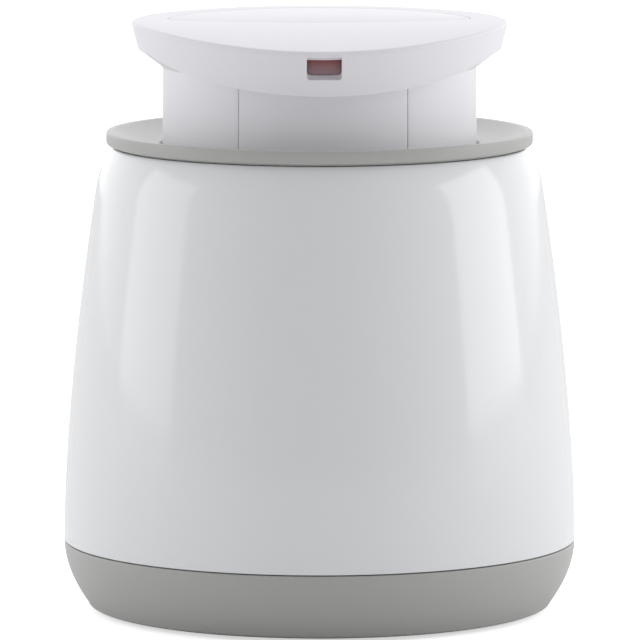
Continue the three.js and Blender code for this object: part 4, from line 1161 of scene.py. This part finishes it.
def build_battery_cells():
    grain = Grain(500.0, 0.004, 0.6)
    sleeve = plastic("cell_sleeve", tuple(colours().cell_sleeve), (0.02, 0.08, 0.04), 0.3, grain)
    steel = bright_steel()
    for node in [name for name in frame["nodes"] if name.startswith("battery_cell_")]:
        low, high = span(node)
        radius = (high.x - low.x) / 2
        half = (high.y - low.y) / 2
        shoulder = half - CELL_BUTTON
        bm = turned([
            (0, -half, 0),
            (radius - END_INSET, -half, 0.1),
            (radius - SLEEVE_LAP, -half + SLEEVE_STEP, 0),
            (radius, -half + SLEEVE_STEP, 0.35),
            (radius, shoulder, 0.6),
            (radius - CAP_INSET + 0.1, shoulder, 0.1),
            (radius - CAP_INSET, shoulder - CAP_DROP, 0),
            (BUTTON_RADIUS, shoulder - CAP_DROP, 0.1),
            (BUTTON_RADIUS, half, 0.4),
            (0, half, 0),
        ], closed=False, facets=48)
        towards = 1 if (int(node[-1]) - 1) % 2 == 0 else -1
        turn = Matrix.Rotation(-towards * math.pi / 2, 3, "X")
        bmesh.ops.rotate(bm, verts=bm.verts, cent=(0, 0, 0), matrix=turn)
        centre = middle(node)
        bmesh.ops.translate(bm, verts=bm.verts, vec=centre)
        for face in bm.faces:
            out = face.calc_center_median() - centre
            face.material_index = 0 if math.hypot(out.x, out.z) > radius - 1.0 else 1
        piece = finish_piece(f"{node}_wrapped", bm, sleeve, "root", [node])
        piece.data.materials.append(steel)


# ------------------------------------------------------------------ finishes of the parts inside
def wire_finish(name, colour):
    return plastic(name, colour, darker(colour, 0.3), 0.45, Grain(900.0, 0.01, 0.4))


def inner_finish(slot):
    """The finish of a frame node that keeps its own mesh."""
    makers = {
        "gloss_white": gloss_white,
        "satin_white": satin_white,
        "soft_grey": soft_grey,
        "bright_steel": bright_steel,
        "window_tint": tinted_window,
        "inner_plastic": lambda: plastic("inner_plastic", (0.62, 0.62, 0.58), (0.5, 0.5, 0.47), 0.5),
        "brass": lambda: metal("brass", (0.72, 0.5, 0.22), 0.28),
        "circuit_green": lambda: plastic(
            "circuit_green", (0.02, 0.14, 0.05), (0.015, 0.09, 0.035), 0.35, Grain(300.0, 0.02, 0.8)
        ),
        "gear_nylon": lambda: plastic("gear_nylon", (0.78, 0.76, 0.68), (0.66, 0.63, 0.55), 0.42),
        "mirror_face": lambda: metal("mirror_face", (0.9, 0.9, 0.91), 0.04, Grain(200.0, 0.001, 0.5)),
        "wire_black": lambda: wire_finish("wire_black", (0.03, 0.03, 0.032)),
        "wire_red": lambda: wire_finish("wire_red", (0.45, 0.03, 0.03)),
        "wire_blue": lambda: wire_finish("wire_blue", (0.03, 0.09, 0.4)),
        "wire_yellow": lambda: wire_finish("wire_yellow", (0.6, 0.4, 0.03)),
        "wire_grey": lambda: wire_finish("wire_grey", (0.2, 0.2, 0.21)),
    }
    return makers[slot]()


def paint_inner_parts():
    slots = {row["node"]: row["material_slot"] for row in frame["record"]["subparts"]}
    for name, node in frame["nodes"].items():
        if node.hide_render:
            continue
        node.data.materials.clear()
        node.data.materials.append(inner_finish(slots[name]))


# ------------------------------------------------------------------ stage
def add_to_scene(name, data):
    made = bpy.data.objects.new(name, data)
    bpy.context.scene.collection.objects.link(made)
    return made


def build_floor():
    """A pale floor, open under the base so that light reaches the underside, and see-through from below."""
    bm = bmesh.new()
    spin_edges(
        bm, [(FLOOR_OPENING, -FLOOR_CLEARANCE), (FLOOR_RADIUS, -FLOOR_CLEARANCE)], closed=False, facets=96
    )
    bm.normal_update()
    downward = [face for face in bm.faces if face.normal.z < 0]
    bmesh.ops.reverse_faces(bm, faces=downward)
    mesh = bpy.data.meshes.new("floor")
    bm.to_mesh(mesh)
    bm.free()
    add_to_scene("floor", mesh)
    material = bpy.data.materials.new("pale_floor")
    material.use_nodes = True
    tree = material.node_tree
    shader = tree.nodes["Principled BSDF"]
    shader.inputs["Roughness"].default_value = 0.9
    shader.inputs["Specular IOR Level"].default_value = 0.1
    rays = tree.nodes.new("ShaderNodeLightPath")
    tone = tree.nodes.new("ShaderNodeMix")
    tone.data_type = "RGBA"
    tree.links.new(rays.outputs["Is Camera Ray"], tone.inputs["Factor"])
    tone.inputs["A"].default_value = (*FLOOR_BOUNCE, 1)
    tone.inputs["B"].default_value = (*FLOOR_TONE, 1)
    tree.links.new(tone.outputs["Result"], shader.inputs["Base Color"])
    glow = tree.nodes.new("ShaderNodeMath")
    glow.operation = "MULTIPLY"
    glow.inputs[1].default_value = FLOOR_GLOW
    tree.links.new(rays.outputs["Is Camera Ray"], glow.inputs[0])
    shader.inputs["Emission Color"].default_value = (1, 1, 1, 1)
    tree.links.new(glow.outputs[0], shader.inputs["Emission Strength"])
    see_through = tree.nodes.new("ShaderNodeBsdfTransparent")
    from_below = tree.nodes.new("ShaderNodeMixShader")
    tree.links.new(tree.nodes.new("ShaderNodeNewGeometry").outputs["Backfacing"], from_below.inputs[0])
    tree.links.new(shader.outputs[0], from_below.inputs[1])
    tree.links.new(see_through.outputs[0], from_below.inputs[2])
    tree.links.new(from_below.outputs[0], tree.nodes["Material Output"].inputs["Surface"])
    mesh.materials.append(material)


def build_world():
    """A light tent, dim in front, brighter at the sides and brightest behind."""
    world = bpy.data.worlds.new("light_tent")
    bpy.context.scene.world = world
    world.use_nodes = True
    tree = world.node_tree
    background = tree.nodes["Background"]
    place = tree.nodes.new("ShaderNodeTexCoord")
    split = tree.nodes.new("ShaderNodeSeparateXYZ")
    tree.links.new(place.outputs["Generated"], split.inputs[0])
    across = math_node(tree, "MULTIPLY", split.outputs["X"], TENT_RIGHT)
    up = math_node(tree, "MULTIPLY", split.outputs["Z"], TENT_UP)
    position = math_node(tree, "ADD", split.outputs["Y"], math_node(tree, "ADD", across, up))
    spread = tree.nodes.new("ShaderNodeMapRange")
    spread.inputs["From Min"].default_value = -1.0
    spread.inputs["To Min"].default_value = TENT_FRONT
    spread.inputs["To Max"].default_value = TENT_BACK
    spread.clamp = True
    tree.links.new(position, spread.inputs["Value"])
    rays = tree.nodes.new("ShaderNodeLightPath")
    seen = tree.nodes.new("ShaderNodeMix")
    tree.links.new(rays.outputs["Is Camera Ray"], seen.inputs["Factor"])
    tree.links.new(spread.outputs[0], seen.inputs["A"])
    seen.inputs["B"].default_value = BACKDROP
    tree.links.new(seen.outputs["Result"], background.inputs["Strength"])
    background.inputs["Color"].default_value = (*TENT_TONE, 1)


def build_lamp(name, location, size, radiance):
    """A soft box that faces the toy's middle and is only seen by its light."""
    data = bpy.data.lights.new(name, "AREA")
    data.shape = "RECTANGLE"
    data.size, data.size_y = size
    data.energy = radiance * math.pi * size[0] * size[1]
    lamp = add_to_scene(name, data)
    lamp.location = location
    lamp.rotation_mode = "QUATERNION"
    lamp.rotation_quaternion = (Vector(VIEW_TARGET) - Vector(location)).to_track_quat("-Z", "Y")
    lamp.visible_camera = False


def build_camera():
    data = bpy.data.cameras.new("view")
    data.lens = VIEW_LENS
    data.clip_end = 20
    camera = add_to_scene("view", data)
    a, e = math.radians(VIEW_AZIMUTH), math.radians(VIEW_ELEVATION)
    back = Vector((math.sin(a) * math.cos(e), -math.cos(a) * math.cos(e), math.sin(e)))
    camera.location = Vector(VIEW_TARGET) + back * VIEW_DISTANCE
    camera.rotation_mode = "QUATERNION"
    camera.rotation_quaternion = (-back).to_track_quat("-Z", "Y")
    bpy.context.scene.camera = camera


def build_stage():
    build_floor()
    build_world()
    for name, (location, size, radiance) in LAMPS.items():
        build_lamp(name, location, size, radiance)
    build_camera()
    bpy.context.scene.view_settings.view_transform = "Standard"


# ------------------------------------------------------------------ operators and panel
class PETTOY_OT_body_shell(bpy.types.Operator):
    """Builds the glossy bell of the body with its rounded rim and inner ledge"""

    bl_idname = "pet_toy.body_shell"
    bl_label = "Body shell"

    def execute(self, context):
        build_body_shell()
        return {"FINISHED"}


class PETTOY_OT_base_cover(bpy.types.Operator):
    """Builds the matt base cover with its battery recess, feet seats and screw holes"""

    bl_idname = "pet_toy.base_cover"
    bl_label = "Base cover"

    def execute(self, context):
        build_base_cover()
        return {"FINISHED"}


class PETTOY_OT_feet(bpy.types.Operator):
    """Builds the four rubber feet"""

    bl_idname = "pet_toy.feet"
    bl_label = "Feet"

    def execute(self, context):
        build_feet()
        return {"FINISHED"}


class PETTOY_OT_battery_door(bpy.types.Operator):
    """Builds the battery door with its catch tab and finger grips"""

    bl_idname = "pet_toy.battery_door"
    bl_label = "Battery door"

    def execute(self, context):
        build_battery_door()
        return {"FINISHED"}


class PETTOY_OT_body_screws(bpy.types.Operator):
    """Builds the four long screws that hold the base cover"""

    bl_idname = "pet_toy.body_screws"
    bl_label = "Body screws"

    def execute(self, context):
        build_screws()
        return {"FINISHED"}


class PETTOY_OT_battery_cells(bpy.types.Operator):
    """Builds the four wrapped battery cells"""

    bl_idname = "pet_toy.battery_cells"
    bl_label = "Battery cells"

    def execute(self, context):
        build_battery_cells()
        return {"FINISHED"}


class PETTOY_OT_selector_ring(bpy.types.Operator):
    """Builds the dished ring round the neck that sets the play mode"""

    bl_idname = "pet_toy.selector_ring"
    bl_label = "Selector ring"

    def execute(self, context):
        build_selector_ring()
        return {"FINISHED"}


class PETTOY_OT_neck(bpy.types.Operator):
    """Builds the neck's front panel and rear shell with the seams between them"""

    bl_idname = "pet_toy.neck"
    bl_label = "Neck"

    def execute(self, context):
        build_neck()
        return {"FINISHED"}


class PETTOY_OT_head_bowl(bpy.types.Operator):
    """Builds the head's outer wall and underside with the beam's aperture"""

    bl_idname = "pet_toy.head_bowl"
    bl_label = "Head bowl"

    def execute(self, context):
        build_head_bowl()
        return {"FINISHED"}


class PETTOY_OT_head_cover(bpy.types.Operator):
    """Builds the head's curved top with the recess for its rear panel"""

    bl_idname = "pet_toy.head_cover"
    bl_label = "Head cover"

    def execute(self, context):
        build_head_cover()
        return {"FINISHED"}


class PETTOY_OT_top_panel(bpy.types.Operator):
    """Builds the flat panel let into the rear of the head's top"""

    bl_idname = "pet_toy.top_panel"
    bl_label = "Top panel"

    def execute(self, context):
        build_top_panel()
        return {"FINISHED"}


class PETTOY_OT_beam_window(bpy.types.Operator):
    """Builds the smoked window behind the aperture"""

    bl_idname = "pet_toy.beam_window"
    bl_label = "Beam window"

    def execute(self, context):
        build_beam_window()
        return {"FINISHED"}


class PETTOY_OT_inner_parts(bpy.types.Operator):
    """Gives the drive, electronics, contacts and wires their finishes"""

    bl_idname = "pet_toy.inner_parts"
    bl_label = "Inner parts"

    def execute(self, context):
        paint_inner_parts()
        return {"FINISHED"}


class PETTOY_OT_stage(bpy.types.Operator):
    """Builds the floor, the light tent, the soft boxes and the camera"""

    bl_idname = "pet_toy.stage"
    bl_label = "Stage"

    def execute(self, context):
        build_stage()
        return {"FINISHED"}


OPERATORS = (
    PETTOY_OT_body_shell,
    PETTOY_OT_base_cover,
    PETTOY_OT_feet,
    PETTOY_OT_battery_door,
    PETTOY_OT_body_screws,
    PETTOY_OT_battery_cells,
    PETTOY_OT_selector_ring,
    PETTOY_OT_neck,
    PETTOY_OT_head_bowl,
    PETTOY_OT_head_cover,
    PETTOY_OT_top_panel,
    PETTOY_OT_beam_window,
    PETTOY_OT_inner_parts,
    PETTOY_OT_stage,
)


class PETTOY_PT_panel(bpy.types.Panel):
    """Lists the toy's settings and pieces"""

    bl_idname = "PETTOY_PT_panel"
    bl_label = "Pet Toy"
    bl_space_type = "VIEW_3D"
    bl_region_type = "UI"
    bl_category = "Pet Toy"

    def draw(self, context):
        for group in (context.scene.pet_toy_sizes, context.scene.pet_toy_colours):
            for name in group.__annotations__:
                self.layout.prop(group, name)
        for operator in OPERATORS:
            self.layout.operator(operator.bl_idname)


CLASSES = (PetToySizes, PetToyColours, *OPERATORS, PETTOY_PT_panel)


def register():
    for item in CLASSES:
        bpy.utils.register_class(item)
    bpy.types.Scene.pet_toy_sizes = PointerProperty(type=PetToySizes)
    bpy.types.Scene.pet_toy_colours = PointerProperty(type=PetToyColours)


def unregister():
    del bpy.types.Scene.pet_toy_colours
    del bpy.types.Scene.pet_toy_sizes
    for item in reversed(CLASSES):
        bpy.utils.unregister_class(item)


def main():
    register()
    for operator in OPERATORS:
        getattr(bpy.ops.pet_toy, operator.bl_idname.split(".")[1])()


if __name__ == "__main__":
    main()
